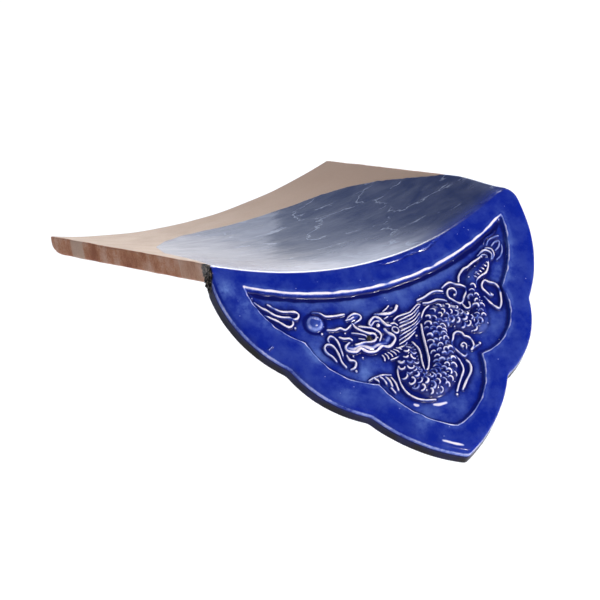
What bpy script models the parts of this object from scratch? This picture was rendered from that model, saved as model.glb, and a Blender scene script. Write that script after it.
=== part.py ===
"""A glazed drip tile for the eave of a roof.

A shallow curved pan carries a lobed pendant plate at its lower end. The plate leans outward, and the
sunk field on its face holds a dragon that chases a pearl among clouds. Pan and plate are one piece of
fired clay. The pan runs along Y with its plate at the -Y end, and the origin lies on the pan's
underside, on the centre line at mid length, where the tile beds on the roof.
"""

import math

import bmesh
import bpy
from mathutils import Matrix, Vector

# Pan, in metres. Its upper end is wider than its front by the taper
PAN_LENGTH = 0.300
PAN_FRONT_WIDTH = 0.220
PAN_TAPER = 0.0065
PAN_FRONT_DEPTH = 0.0238
PAN_BACK_DEPTH = 0.0170
PAN_THICKNESS = 0.013

# Pendant plate, measured down its own slope from the chord of the pan's front edge
PLATE_LEAN = math.radians(33.5)
PLATE_DROP = 0.174
PLATE_THICKNESS = 0.015
PLATE_DRAFT = 0.0015

# The right front corner is slumped: rounded at the face, and fading out along the pan's edge
CORNER_RADIUS = 0.014
CORNER_FADE = 0.090

# Sunk field on the plate's face
RIM_SIDE = 0.0155
RIM_HEAD = 0.0185
RIM_CORNER = 0.0138
RIM_FOOT = 0.020
FIELD_DEPTH = 0.003
FIELD_WALL_SLOPE = 0.0008

# Carving: widths of its lines and heights over the field's floor
LINE_WIDTH = 0.0024
LINE_RISE = 0.0018
BOLD_WIDTH = 0.0030
FINE_WIDTH = 0.0017
FINE_RISE = 0.0016
SKULL_WIDTH = 0.013
SKULL_RISE = 0.0026
PEARL_RADIUS = 0.0058
PEARL_RISE = 0.0032
EYE_RADIUS = 0.0017
EYE_RISE = 0.0026
CARVING_SINK = 0.0004

# Serpent body: its width from the coil to the tail, and the scales on it
BODY_WIDTH = 0.0175
WAIST_WIDTH = 0.0105
TAIL_WIDTH = 0.006
BODY_RISE = 0.0036
SCALE_RADIUS = 0.0026
SCALE_CREST_RADIUS = 0.0012
SCALE_HEIGHT = 0.0024
SCALE_PROUD = 0.0008
SCALE_PITCH = 0.0058

# Notches of the outline and of the field, as shares of the half width and of the drop
OUTLINE_NOTCHES = ((0.79, 0.48), (0.450, 0.745))
FIELD_NOTCHES = ((0.76, 0.458), (0.397, 0.727))

# How far each lobe bellies out, as a share of its chord, from the corner to the tip
OUTLINE_BELLIES_LEFT = (0.126, 0.095, 0.075)
OUTLINE_BELLIES_RIGHT = (0.116, 0.128, 0.080)
FIELD_BELLIES_LEFT = (0.122, 0.149, 0.101)
FIELD_BELLIES_RIGHT = (0.094, 0.223, 0.160)

# The carver's grid: the field's half width, head and tip in grid units of about a millimetre
GRID_HALF_WIDTH = 94.5
GRID_HEAD = 21.5
GRID_TIP = 154.0

# Facets
PAN_FACETS_ACROSS = 28
PAN_FACETS_ALONG = 5
ARC_STEPS = 9
WELD = 0.00001

# Spare stock that the cutters remove
STOCK = 0.006
CUTTER_REACH = 0.06

TILE_NAME = "drip_tile"

HALF_WIDTH = PAN_FRONT_WIDTH / 2
BED_HEIGHT = (PAN_FRONT_DEPTH + PAN_BACK_DEPTH) / 2 + PAN_THICKNESS
FRONT_CHORD = Vector((0.0, -PAN_LENGTH / 2, BED_HEIGHT))
PLATE_FRAME = Matrix.Translation(FRONT_CHORD) @ Matrix.Rotation(math.pi / 2 - PLATE_LEAN, 4, "X")


def clear_scene():
    """Remove every object of the open scene."""
    for thing in list(bpy.data.objects):
        bpy.data.objects.remove(thing, do_unlink=True)


def new_collection(name):
    """Make a collection under the scene's own."""
    collection = bpy.data.collections.new(name)
    bpy.context.scene.collection.children.link(collection)
    return collection


def glazed_clay():
    """Cobalt glaze over fired clay."""
    material = bpy.data.materials.new("cobalt_glaze_on_fired_clay")
    material.use_nodes = True
    shader = material.node_tree.nodes["Principled BSDF"]
    shader.inputs["Base Color"].default_value = (0.010, 0.028, 0.235, 1.0)
    shader.inputs["Roughness"].default_value = 0.22
    shader.inputs["Metallic"].default_value = 0.0
    return material


def add_object(name, mesh, collection, frame=None):
    """Link a mesh as an object at the given frame."""
    thing = bpy.data.objects.new(name, mesh)
    if frame is not None:
        thing.matrix_world = frame
    collection.objects.link(thing)
    return thing


def mark_guide(thing):
    """Show a cutter or an operand as wire and keep it out of renders."""
    thing.hide_render = True
    thing.display_type = "WIRE"


def section_height(across, along):
    """Height of the pan's top face, with its side edges at zero."""
    share = along / PAN_LENGTH
    width = PAN_FRONT_WIDTH + PAN_TAPER * share
    depth = PAN_FRONT_DEPTH + (PAN_BACK_DEPTH - PAN_FRONT_DEPTH) * share
    radius = (width * width / 4 + depth * depth) / (2 * depth)
    return radius - depth - math.sqrt(radius * radius - across * across)


def half_width_at(along):
    """Half of the pan's width at a distance behind its front edge."""
    share = along / PAN_LENGTH
    return (PAN_FRONT_WIDTH + PAN_TAPER * share) / 2


def bent_slab(name, collection, front, back, overhang, lower, upper):
    """A slab bent to the pan's section.

    It runs from front to back behind the front edge, reaches overhang past the pan's side edges, and
    spans lower to upper about the pan's top face.
    """
    shape = bmesh.new()
    bmesh.ops.create_grid(shape, x_segments=PAN_FACETS_ACROSS, y_segments=PAN_FACETS_ALONG, size=1.0)
    sheet = list(shape.faces)
    grown = bmesh.ops.extrude_face_region(shape, geom=sheet)
    underside = {item for item in grown["geom"] if isinstance(item, bmesh.types.BMVert)}
    for vertex in shape.verts:
        along = front + (back - front) * (vertex.co.y + 1) / 2
        level = lower if vertex in underside else upper
        reach = half_width_at(along) + overhang
        across = vertex.co.x * reach
        vertex.co = Vector((across, along, section_height(across, along) + level))
    bmesh.ops.recalc_face_normals(shape, faces=shape.faces)
    bmesh.ops.triangulate(shape, faces=shape.faces)
    mesh = bpy.data.meshes.new(name)
    shape.to_mesh(mesh)
    shape.free()
    return add_object(name, mesh, collection, Matrix.Translation(FRONT_CHORD))


def mesh_from_curve(curve, name, collection, frame):
    """Turn a curve into a welded mesh object and remove the curve."""
    rail = bpy.data.objects.new(name + "_rail", curve)
    rail.matrix_world = frame
    collection.objects.link(rail)
    graph = bpy.context.evaluated_depsgraph_get()
    mesh = bpy.data.meshes.new_from_object(rail.evaluated_get(graph))
    mesh.name = name
    shape = bmesh.new()
    shape.from_mesh(mesh)
    bmesh.ops.remove_doubles(shape, verts=shape.verts, dist=WELD)
    bmesh.ops.recalc_face_normals(shape, faces=shape.faces)
    shape.to_mesh(mesh)
    shape.free()
    thing = add_object(name, mesh, collection, rail.matrix_world.copy())
    bpy.data.objects.remove(rail, do_unlink=True)
    return thing


def arc(start, end, belly):
    """Points after start up to end on an arc that bellies to the left by a share of its chord."""
    chord = end - start
    rise = belly * chord.length
    side = Vector((-chord.y, chord.x)).normalized()
    radius = (chord.length_squared / 4 + rise * rise) / (2 * rise)
    centre = (start + end) / 2 + side * (rise - radius)
    spoke = start - centre
    sweep = -2 * math.asin(chord.length / (2 * radius))
    turns = (Matrix.Rotation(sweep * step / ARC_STEPS, 2) for step in range(1, ARC_STEPS + 1))
    return [centre + turn @ spoke for turn in turns]


def lobed_side(side, corner, notches, tip, bellies):
    """One side of a lobed outline, from after its corner down to its tip.

    The side is 1 on the right and -1 on the left; points are in the plate's own frame, with Y up.
    """
    stations = [corner]
    for across, drop in notches:
        stations.append(Vector((corner.x * across, -tip * drop)))
    stations.append(Vector((0.0, -tip)))
    points = []
    for start, end, belly in zip(stations, stations[1:], bellies):
        for point in arc(start, end, belly):
            points.append(Vector((side * point.x, point.y)))
    return points


def extruded_outline(name, points, front, back, spread, collection):
    """A flat outline drawn out along the plate's normal, its rear wider by spread."""
    curve = bpy.data.curves.new(name, "CURVE")
    curve.dimensions = "2D"
    curve.fill_mode = "BOTH"
    curve.extrude = (front - back) / 2
    spline = curve.splines.new("POLY")
    spline.points.add(len(points) - 1)
    for target, point in zip(spline.points, points):
        target.co = (point.x, point.y, 0.0, 1.0)
    spline.use_cyclic_u = True
    middle = Matrix.Translation((0.0, 0.0, (front + back) / 2))
    thing = mesh_from_curve(curve, name, collection, PLATE_FRAME @ middle)
    heights = [vertex.co.y for vertex in thing.data.vertices]
    centre = (max(heights) + min(heights)) / 2
    reach = max(vertex.co.x for vertex in thing.data.vertices)
    growth = 1 + spread / reach
    for vertex in thing.data.vertices:
        if vertex.co.z < 0:
            vertex.co.x *= growth
            vertex.co.y = centre + (vertex.co.y - centre) * growth
    return thing


def plate_outline():
    """Outline of the plate, with stock above the pan that the trough cutter removes."""
    corner = Vector((HALF_WIDTH, 0.0))
    right = lobed_side(1, corner, OUTLINE_NOTCHES, PLATE_DROP, OUTLINE_BELLIES_RIGHT)
    left = lobed_side(-1, corner, OUTLINE_NOTCHES, PLATE_DROP, OUTLINE_BELLIES_LEFT)
    stock = Vector((0.0, STOCK))
    head_right = [corner + stock, corner]
    head_left = [Vector((-corner.x, corner.y)), Vector((-corner.x, corner.y)) + stock]
    return head_right + right + list(reversed(left[:-1])) + head_left


def field_corner():
    """Upper right corner of the sunk field."""
    across = HALF_WIDTH - RIM_SIDE
    edge = -section_height(across, 0.0) / math.cos(PLATE_LEAN)
    return Vector((across, -(edge + RIM_CORNER)))


def field_tip():
    """Distance from the front chord down to the field's tip."""
    return PLATE_DROP - RIM_FOOT


def field_outline():
    """Outline of the sunk field: a bowed head and three lobes a side."""
    corner = field_corner()
    right = lobed_side(1, corner, FIELD_NOTCHES, field_tip(), FIELD_BELLIES_RIGHT)
    left = lobed_side(-1, corner, FIELD_NOTCHES, field_tip(), FIELD_BELLIES_LEFT)
    head_drop = PAN_FRONT_DEPTH / math.cos(PLATE_LEAN) + RIM_HEAD
    left_corner = Vector((-corner.x, corner.y))
    belly = (head_drop + corner.y) / (2 * corner.x)
    head = arc(corner, left_corner, belly)
    return [corner] + right + list(reversed(left[:-1])) + list(reversed(head))


def grid_point(across, down):
    """A point of the carver's grid in the plate's own frame."""
    corner = field_corner()
    share = (down - GRID_HEAD) / (GRID_TIP - GRID_HEAD)
    return Vector((across * corner.x / GRID_HALF_WIDTH, corner.y - share * (field_tip() + corner.y)))


def smooth(points, steps):
    """Points on a smooth curve through the given ones, with so many steps a span."""
    first = points[0] * 2 - points[1]
    last = points[-1] * 2 - points[-2]
    line = [first] + points + [last]
    result = []
    for index in range(1, len(line) - 2):
        before, start, end, after = line[index - 1:index + 3]
        for step in range(steps):
            t = step / steps
            bend = (before * 2 - start * 5 + end * 4 - after) * t * t
            twist = (start * 3 - before - end * 3 + after) * t * t * t
            result.append((start * 2 + (end - before) * t + bend + twist) / 2)
    result.append(points[-1])
    return result


def ribbon(name, grid, collection, width=LINE_WIDTH, rise=LINE_RISE, ends=(0.45, 0.45), steps=2):
    """A raised line on the field's floor along points of the carver's grid."""
    points = smooth([grid_point(*place) for place in grid], steps)
    return raised_tube(name, points, collection, width, rise, ends, sides=6)


def raised_tube(name, points, collection, width, rise, ends, sides):
    """A tube half sunk in the field's floor, swelling from its ends to its middle."""
    curve = bpy.data.curves.new(name, "CURVE")
    curve.dimensions = "3D"
    curve.bevel_depth = width / 2
    curve.bevel_resolution = (sides - 4) // 2
    curve.use_fill_caps = True
    spline = curve.splines.new("POLY")
    spline.points.add(len(points) - 1)
    for index, (target, point) in enumerate(zip(spline.points, points)):
        share = index / (len(points) - 1)
        swell = math.sin(math.pi * share) ** 0.5
        target.co = (point.x, point.y, 0.0, 1.0)
        target.radius = swell + (1 - swell) * (ends[0] if share < 0.5 else ends[1])
    floor = Matrix.Translation((0.0, 0.0, -FIELD_DEPTH - CARVING_SINK))
    thing = mesh_from_curve(curve, name, collection, PLATE_FRAME @ floor)
    for vertex in thing.data.vertices:
        vertex.co.z *= 2 * rise / width
    return thing


def curl(centre, outer, inner, start, sweep, steps=8):
    """Grid points of a spiral from an outer to an inner radius; angles are in degrees."""
    points = []
    for step in range(steps + 1):
        share = step / steps
        angle = math.radians(start + sweep * share)
        radius = outer + (inner - outer) * share
        points.append((centre[0] + radius * math.cos(angle), centre[1] - radius * math.sin(angle)))
    return points


def hairpin(root, tip, other_root, radius, bow=0.0):
    """Grid points of a tongue: out along one arm, round its tip and back along the other."""
    ends = [Vector(root), Vector(other_root)]
    heading = (Vector(tip) - (ends[0] + ends[1]) / 2).normalized()
    across = Vector((-heading.y, heading.x))
    if (ends[0] - ends[1]).dot(across) < 0:
        across.negate()
    middle = Vector(tip) - heading * radius
    shoulders = [middle + across * radius, middle - across * radius]
    sway = Vector((heading.y, -heading.x)) * bow
    out = (ends[0] + shoulders[0]) / 2 + sway
    back = (ends[1] + shoulders[1]) / 2 + sway
    return [ends[0], out, shoulders[0], Vector(tip), shoulders[1], back, ends[1]]


def bowed(start, end, bow):
    """Grid points of a stroke that bows sideways by a share of its length."""
    first, last = Vector(start), Vector(end)
    run = last - first
    return [first, (first + last) / 2 + Vector((run.y, -run.x)) * bow, last]


def between(first, last, share):
    """The point at a share of the way between two grid points."""
    return (first[0] + (last[0] - first[0]) * share, first[1] + (last[1] - first[1]) * share)


def dome(name, place, radius, rise, collection):
    """A low domed button on the field's floor."""
    shape = bmesh.new()
    bmesh.ops.create_uvsphere(shape, u_segments=14, v_segments=8, radius=radius)
    bmesh.ops.scale(shape, vec=(1.0, 1.0, rise / radius), verts=shape.verts)
    mesh = bpy.data.meshes.new(name)
    shape.to_mesh(mesh)
    shape.free()
    point = grid_point(*place)
    seat = Matrix.Translation((point.x, point.y, -FIELD_DEPTH - CARVING_SINK))
    return add_object(name, mesh, collection, PLATE_FRAME @ seat)


def carve_flames(carving):
    """The flame tongues in the left corner and the pair below the pearl."""
    ribbon("flame_upper", hairpin((-84, 37), (-67.3, 49.8), (-92, 33.5), 3.0, 1.4), carving)
    ribbon("flame_lower", hairpin((-75, 49.5), (-77, 56.5), (-89, 43.5), 2.6, -0.5), carving)
    ribbon("tongue_near", hairpin((-50.6, 85.5), (-53.6, 70.8), (-55.5, 77), 2.7), carving)
    ribbon("tongue_far", hairpin((-57, 88), (-58.2, 75.2), (-52, 93.5), 2.9, -0.6), carving)
    ribbon("spark", [(-48.5, 86), (-48, 89.5), (-45.4, 92.3), (-49.5, 96)], carving)


def carve_pearl(carving):
    """The pearl with the trail that runs from it to the dragon's nose."""
    dome("pearl", (-59.4, 58.8), PEARL_RADIUS, PEARL_RISE, carving)
    ribbon("pearl_trail", [(-58, 51.2), (-51, 55.8), (-46, 57.5), (-38, 58.3)], carving)


def carve_head(carving):
    """The head in profile, its jaws open towards the pearl."""
    ribbon("skull", [(-31, 74), (-22, 76), (-14, 80)], carving, SKULL_WIDTH, SKULL_RISE, (0.6, 0.7), 3)
    ribbon("muzzle", [(-36, 66), (-33, 72), (-25, 77.5), (-26, 81.8), (-40, 81.2)], carving)
    ribbon("jaw", [(-43, 78.3), (-47.3, 81.5), (-41, 85.6), (-29.5, 89), (-24, 87), (-17.5, 88.4),
                   (-13, 84), (-17, 76)], carving, BOLD_WIDTH)
    ribbon("cheek", [(-32, 70), (-26, 73.5), (-21.2, 79), (-24.5, 83.5)], carving)
    ribbon("lip", [(-53.5, 65.5), (-49, 67), (-45.5, 66.8), (-42, 69), (-36, 66)], carving)
    ribbon("nose", curl((-32, 63), 3.6, 2.6, 150, -240), carving)
    ribbon("fang", bowed((-39, 72), (-30, 79.5), -0.15), carving)
    ribbon("whisker", bowed((-48, 72.5), (-40.5, 77), -0.12), carving)
    ribbon("brow", [(-24.5, 73.5), (-25, 69), (-20.5, 66.6), (-16.8, 70.5), (-12, 75.3)], carving, BOLD_WIDTH)
    dome("eye", (-19.8, 71.4), EYE_RADIUS, EYE_RISE, carving)
    ribbon("ear", curl((-10.5, 79), 2.3, 2.3, 0, 330), carving, FINE_WIDTH)
    ribbon("horn_long", [(-19, 64.6), (-11, 67), (-5, 66), (-1.8, 63)], carving, BOLD_WIDTH)
    ribbon("horn_short", bowed((-13, 64.4), (-7, 61), -0.1), carving)


def carve_mane(carving):
    """Locks that fan out behind the head and are gathered at the neck, and the beard below."""
    locks = 8
    for index in range(locks):
        share = index / (locks - 1)
        root = between((-6.5, 71), (-10.5, 90), share)
        end = between((13.5, 66.8), (1, 86), share)
        ribbon(f"lock_{index}", bowed(root, end, -0.10), carving, FINE_WIDTH, FINE_RISE)
    hairs = 5
    for index in range(hairs):
        share = index / (hairs - 1)
        root = between((-26.3, 93), (-14.5, 91), share)
        end = between((-25.5, 96.8), (-10.5, 94.6), share)
        ribbon(f"beard_{index}", bowed(root, end, 0.08), carving, FINE_WIDTH, FINE_RISE)


def body_line():
    """Centre line of the serpent body in the plate's frame, from the neck to the root of the tail."""
    grid = [(-7, 88), (-12.5, 100), (-12.5, 112), (-3, 121.5), (9, 116), (13, 103), (14, 90),
            (20, 79.5), (30, 78.5), (38, 86), (46, 90), (50.5, 80), (51, 68), (58, 56.5), (71, 49)]
    return smooth([grid_point(*place) for place in grid], 4)


def body_width(share):
    """Width of the body at a share of its length."""
    waist_start, waist_end = 0.55, 0.75
    if share < waist_start:
        return BODY_WIDTH
    if share < waist_end:
        return BODY_WIDTH + (WAIST_WIDTH - BODY_WIDTH) * (share - waist_start) / (waist_end - waist_start)
    return WAIST_WIDTH + (TAIL_WIDTH - WAIST_WIDTH) * (share - waist_end) / (1 - waist_end)


def carve_body(carving):
    """The coiled body as one flattened tube, with rows of overlapping scales."""
    line = body_line()
    curve = bpy.data.curves.new("body", "CURVE")
    curve.dimensions = "3D"
    curve.bevel_depth = 1.0
    curve.bevel_resolution = 3
    curve.use_fill_caps = True
    spline = curve.splines.new("POLY")
    spline.points.add(len(line) - 1)
    for index, (target, point) in enumerate(zip(spline.points, line)):
        target.co = (point.x, point.y, 0.0, 1.0)
        target.radius = body_width(index / (len(line) - 1)) / 2
    floor = Matrix.Translation((0.0, 0.0, -FIELD_DEPTH - CARVING_SINK))
    body = mesh_from_curve(curve, "body", carving, PLATE_FRAME @ floor)
    for vertex in body.data.vertices:
        vertex.co.z *= 2 * BODY_RISE / BODY_WIDTH
    carve_scales(line, carving)


def carve_scales(line, carving):
    """Scales in staggered rows across the body, fewer where it is slim, up to the tail's rings."""
    length = sum((end - start).length for start, end in zip(line, line[1:]))
    scaled_share = 0.86
    travelled = 0.0
    rows = 0
    for start, end in zip(line, line[1:]):
        travelled += (end - start).length
        share = travelled / length
        if travelled < (rows + 1) * SCALE_PITCH or share > scaled_share:
            continue
        heading = (end - start).normalized()
        width = body_width(share)
        lanes = max(1, round(width / SCALE_PITCH) - rows % 2)
        for lane in range(lanes):
            offset = (lane - (lanes - 1) / 2) * width / (lanes + 0.6)
            place = end + Vector((-heading.y, heading.x)) * offset
            crown = BODY_RISE * width / BODY_WIDTH * math.sqrt(1 - (2 * offset / width) ** 2)
            add_scale(f"scale_{rows}_{lane}", place, heading, crown, carving)
        rows += 1


def add_scale(name, place, heading, crown, carving):
    """One low rounded scale that stands proud of the body's back at the given height."""
    shape = bmesh.new()
    bmesh.ops.create_cone(shape, cap_ends=True, segments=6, radius1=SCALE_RADIUS,
                          radius2=SCALE_CREST_RADIUS, depth=SCALE_HEIGHT)
    mesh = bpy.data.meshes.new(name)
    shape.to_mesh(mesh)
    shape.free()
    level = crown + SCALE_PROUD - SCALE_HEIGHT / 2 - FIELD_DEPTH - CARVING_SINK
    spin = Matrix.Rotation(math.atan2(heading.y, heading.x), 4, "Z")
    seat = Matrix.Translation((place.x, place.y, level)) @ spin
    add_object(name, mesh, carving, PLATE_FRAME @ seat)


def carve_outer_lines(carving):
    """Edge lines of the body, the fin at its foot and the strands beside it."""
    ribbon("neck_left", [(-2.6, 89), (-1.3, 98), (-3.4, 106), (-4, 113)], carving)
    ribbon("neck_right", [(8.5, 79), (4.6, 92), (2, 105), (-3.4, 112.5)], carving)
    ribbon("flank_strand", [(20.5, 106.5), (22.4, 114), (18.5, 122.5), (11, 131.5)], carving)
    ribbon("outer_strand", [(26.6, 112.5), (27.4, 117), (22, 124.5), (15, 131)], carving)
    spines = 4
    for index in range(spines):
        share = index / (spines - 1)
        root = between((-38, 107), (-27, 109), share)
        end = between((-33, 112), (-26.3, 120), share)
        ribbon(f"fin_{index}", bowed(root, end, -0.05), carving)


def carve_clouds(carving):
    """Three scrolled clouds: above the body, beside the tail and in the body's bend."""
    ribbon("cloud_upper", [(33, 59.8), (39, 57.5), (44, 60.8), (48.4, 64.5), (45, 70), (40, 73.8),
                           (35, 68.8)] + curl((38.2, 65.3), 3.8, 1.4, 200, -290, 6), carving)
    ribbon("cloud_upper_tail", [(13.5, 63.2), (20, 62.2), (27, 60.4), (32.5, 61.9)], carving)
    ribbon("cloud_upper_foot", [(16, 65.8), (20, 67), (27, 66.6), (32.2, 69.6)], carving)
    ribbon("cloud_side", [(57.8, 73.5), (60, 79.5), (63.6, 84.6), (68.2, 79), (69.8, 70.5), (66.5, 65.8),
                          (63, 62.8), (59.4, 66.5), (60.2, 71), (62.6, 74.6), (64, 72.6)], carving)
    ribbon("cloud_low", [(40.5, 104.5), (34, 106.4), (36.2, 101), (33, 96.4), (29, 92), (25, 95),
                         (21.8, 100), (24.4, 106.5), (28.5, 109.4), (31.8, 103.5), (29.6, 99.2),
                         (27, 101.5)], carving)


def carve_tail(carving):
    """The tail's ringed end and its tuft."""
    ribbon("tail_back", [(45.6, 59), (48.5, 54), (54, 50.8), (62, 48.2), (70.5, 45.2)], carving)
    ribbon("tail_belly", [(56, 64.8), (58.5, 60.8), (66, 58), (70.4, 52.5), (72.4, 46.8)], carving)
    rings = 5
    for index in range(rings):
        share = index / (rings - 1)
        head = between((57, 54.6), (68.5, 51.5), share)
        foot = between((58.6, 59.8), (71, 53), share)
        ribbon(f"tail_ring_{index}", bowed(head, foot, -0.2), carving, FINE_WIDTH, LINE_RISE)
    for index, radius in enumerate((4.2, 6.8)):
        ribbon(f"tuft_{index}", curl((71.5, 47.5), radius, radius, 120, -150, 5), carving)
    ribbon("tuft_top", [(74.5, 37), (77.5, 34), (83, 32.6), (86, 30.8)], carving)
    ribbon("tuft_middle", [(76.5, 39.5), (80, 36), (84, 35), (87.3, 35)], carving)
    ribbon("tuft_foot", [(76.5, 52.5), (82, 49.4), (86, 43.5)], carving)


def add_boolean(tile, label, operation, operand):
    """Join or cut the tile with an object or with every object of a collection."""
    modifier = tile.modifiers.new(label, "BOOLEAN")
    modifier.solver = "EXACT"
    modifier.operation = operation
    if isinstance(operand, bpy.types.Collection):
        modifier.operand_type = "COLLECTION"
        modifier.collection = operand
    else:
        modifier.object = operand


def front_cutter(collection):
    """Everything before the plane of the plate's face."""
    shape = bmesh.new()
    bmesh.ops.create_cube(shape, size=1.0)
    reach = PLATE_DROP + PAN_FRONT_WIDTH
    bmesh.ops.scale(shape, vec=(reach * 2, reach * 2, CUTTER_REACH), verts=shape.verts)
    mesh = bpy.data.meshes.new("front_cutter")
    shape.to_mesh(mesh)
    shape.free()
    ahead = Matrix.Translation((0.0, 0.0, CUTTER_REACH / 2))
    return add_object("front_cutter", mesh, collection, PLATE_FRAME @ ahead)


def corner_cutter(collection):
    """The spandrel outside the slumped corner, moved clear of the pan where the slump fades out."""
    steps = 6
    centre = Vector((HALF_WIDTH - CORNER_RADIUS, -CORNER_RADIUS))
    margin = CORNER_RADIUS / 2
    points = [Vector((HALF_WIDTH + margin, centre.y)), Vector((HALF_WIDTH + margin, margin)),
              Vector((centre.x, margin))]
    for step in range(steps + 1):
        angle = math.pi / 2 * (1 - step / steps)
        points.append(centre + Vector((math.cos(angle), math.sin(angle))) * CORNER_RADIUS)
    cutter = extruded_outline("corner_cutter", points, STOCK, -CORNER_FADE, 0.0, collection)
    for vertex in cutter.data.vertices:
        if vertex.co.z < 0:
            vertex.co += Vector((CORNER_RADIUS / 2, CORNER_RADIUS / 2 + CORNER_FADE / 2, 0.0))
    return cutter


def build_tile():
    """Model the tile: pan and plate joined, cut to face and trough, then sunk and carved."""
    tile_parts = new_collection("glazed_drip_tile")
    guides = new_collection("cutters_and_stock")
    carving = new_collection("carving_stock")

    nose = (PAN_FRONT_DEPTH + PAN_THICKNESS) * math.tan(PLATE_LEAN) + STOCK
    tile = bent_slab(TILE_NAME, tile_parts, -nose, PAN_LENGTH, 0.0, -PAN_THICKNESS, STOCK)
    plate = extruded_outline("plate_stock", plate_outline(), STOCK, -PLATE_THICKNESS, PLATE_DRAFT, guides)
    trough = bent_slab("trough_cutter", guides, -nose - CUTTER_REACH, PAN_LENGTH + STOCK, STOCK * 2, 0.0,
                       CUTTER_REACH)
    field = extruded_outline("field_cutter", field_outline(), STOCK, -FIELD_DEPTH, -FIELD_WALL_SLOPE, guides)

    carve_flames(carving)
    carve_pearl(carving)
    carve_head(carving)
    carve_mane(carving)
    carve_body(carving)
    carve_outer_lines(carving)
    carve_clouds(carving)
    carve_tail(carving)

    add_boolean(tile, "join_plate", "UNION", plate)
    add_boolean(tile, "face", "DIFFERENCE", front_cutter(guides))
    add_boolean(tile, "trough", "DIFFERENCE", trough)
    add_boolean(tile, "slumped_corner", "DIFFERENCE", corner_cutter(guides))
    add_boolean(tile, "field", "DIFFERENCE", field)
    add_boolean(tile, "carving", "UNION", carving)
    for thing in list(guides.objects) + list(carving.objects):
        mark_guide(thing)
    tile.data.materials.append(glazed_clay())
    return tile


clear_scene()
build_tile()
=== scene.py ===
"""Looks of a glazed drip tile for the eave of a roof.

One fired-clay tile is remade as a single fine mesh on the form of the solid model: a shallow curved
pan, a lobed plate that leans outward from its front edge, and a dragon in low relief that chases a
pearl among clouds. Cobalt glaze covers the plate and the lower pan, and the upper pan is bare clay.
Lengths on the plate and on the pan are in millimetres; the scene itself is in metres.
"""

import logging
import math
import random
from collections.abc import Callable, Iterator, Sequence
from dataclasses import dataclass, field
from enum import Enum
from functools import partial

import bmesh
import bpy
import numpy as np
from mathutils import Matrix, Vector, noise
from mathutils.geometry import delaunay_2d_cdt


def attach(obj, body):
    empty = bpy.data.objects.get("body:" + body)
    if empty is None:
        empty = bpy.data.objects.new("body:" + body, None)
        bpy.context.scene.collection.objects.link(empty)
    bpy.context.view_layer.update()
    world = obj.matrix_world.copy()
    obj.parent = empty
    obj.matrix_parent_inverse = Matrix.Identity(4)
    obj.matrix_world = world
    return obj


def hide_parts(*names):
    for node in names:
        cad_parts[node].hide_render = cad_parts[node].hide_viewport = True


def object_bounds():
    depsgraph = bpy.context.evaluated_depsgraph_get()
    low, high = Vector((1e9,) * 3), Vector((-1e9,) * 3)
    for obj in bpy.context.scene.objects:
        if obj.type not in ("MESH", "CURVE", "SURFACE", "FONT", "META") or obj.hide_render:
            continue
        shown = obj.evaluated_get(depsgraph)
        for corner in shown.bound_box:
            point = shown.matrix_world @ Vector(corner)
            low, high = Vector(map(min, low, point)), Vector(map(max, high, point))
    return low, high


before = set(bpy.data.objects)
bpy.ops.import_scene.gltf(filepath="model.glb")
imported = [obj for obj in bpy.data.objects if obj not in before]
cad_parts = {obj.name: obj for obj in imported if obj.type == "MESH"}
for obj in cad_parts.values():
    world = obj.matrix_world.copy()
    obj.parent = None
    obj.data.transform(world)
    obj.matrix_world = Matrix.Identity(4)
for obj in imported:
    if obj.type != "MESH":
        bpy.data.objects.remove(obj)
cad_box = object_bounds()

MM = 0.001
TILE_NODE = "drip_tile"

Point = tuple[float, float]
Line = Sequence[Point]
Array = np.ndarray

log = logging.getLogger("drip_tile")


def linear(hex_colour: str) -> tuple[float, float, float, float]:
    """Turn an sRGB hex colour into linear light.

    Args:
        hex_colour: Six hex digits with a leading hash.

    Returns:
        Red, green and blue in linear light, and an alpha of one.
    """
    channels = []
    for start in (1, 3, 5):
        value = int(hex_colour[start:start + 2], 16) / 255
        channels.append(value / 12.92 if value <= 0.04045 else ((value + 0.055) / 1.055) ** 2.4)
    return (*channels, 1.0)


def smooth_step(low: float, high: float, value: Array) -> Array:
    """Ease from 0 at low to 1 at high.

    Args:
        low: Value at which the ease starts.
        high: Value at which it ends.
        value: Where it is read.

    Returns:
        The eased share, from 0 to 1.
    """
    share = np.clip((value - low) / (high - low), 0.0, 1.0)
    return share * share * (3 - 2 * share)


def bell(value: Array, middle: float, width: float | Array) -> Array:
    """A bell curve that is 1 at its middle and about a third at its width."""
    return np.exp(-((value - middle) / width) ** 2)


def travelled(line: Array) -> Array:
    """Distance along a polyline to each of its corners."""
    return np.concatenate(([0.0], np.cumsum(np.linalg.norm(np.diff(line, axis=0), axis=1))))


def spaced(line: Array, count: int, margin: float = 0.0) -> Array:
    """Place points evenly along a polyline.

    Args:
        line: Corners of the polyline, one a row.
        count: How many points to place.
        margin: How far inside both ends the first and the last point lie.

    Returns:
        The points, one a row.
    """
    reach = travelled(line)
    wanted = np.linspace(margin, reach[-1] - margin, count)
    return np.column_stack([np.interp(wanted, reach, line[:, axis]) for axis in range(2)])


def resampled(line: Array, spacing: float) -> Array:
    """Points at about the given spacing along a polyline, with both ends kept."""
    return spaced(line, max(2, round(travelled(line)[-1] / spacing) + 1))


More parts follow.
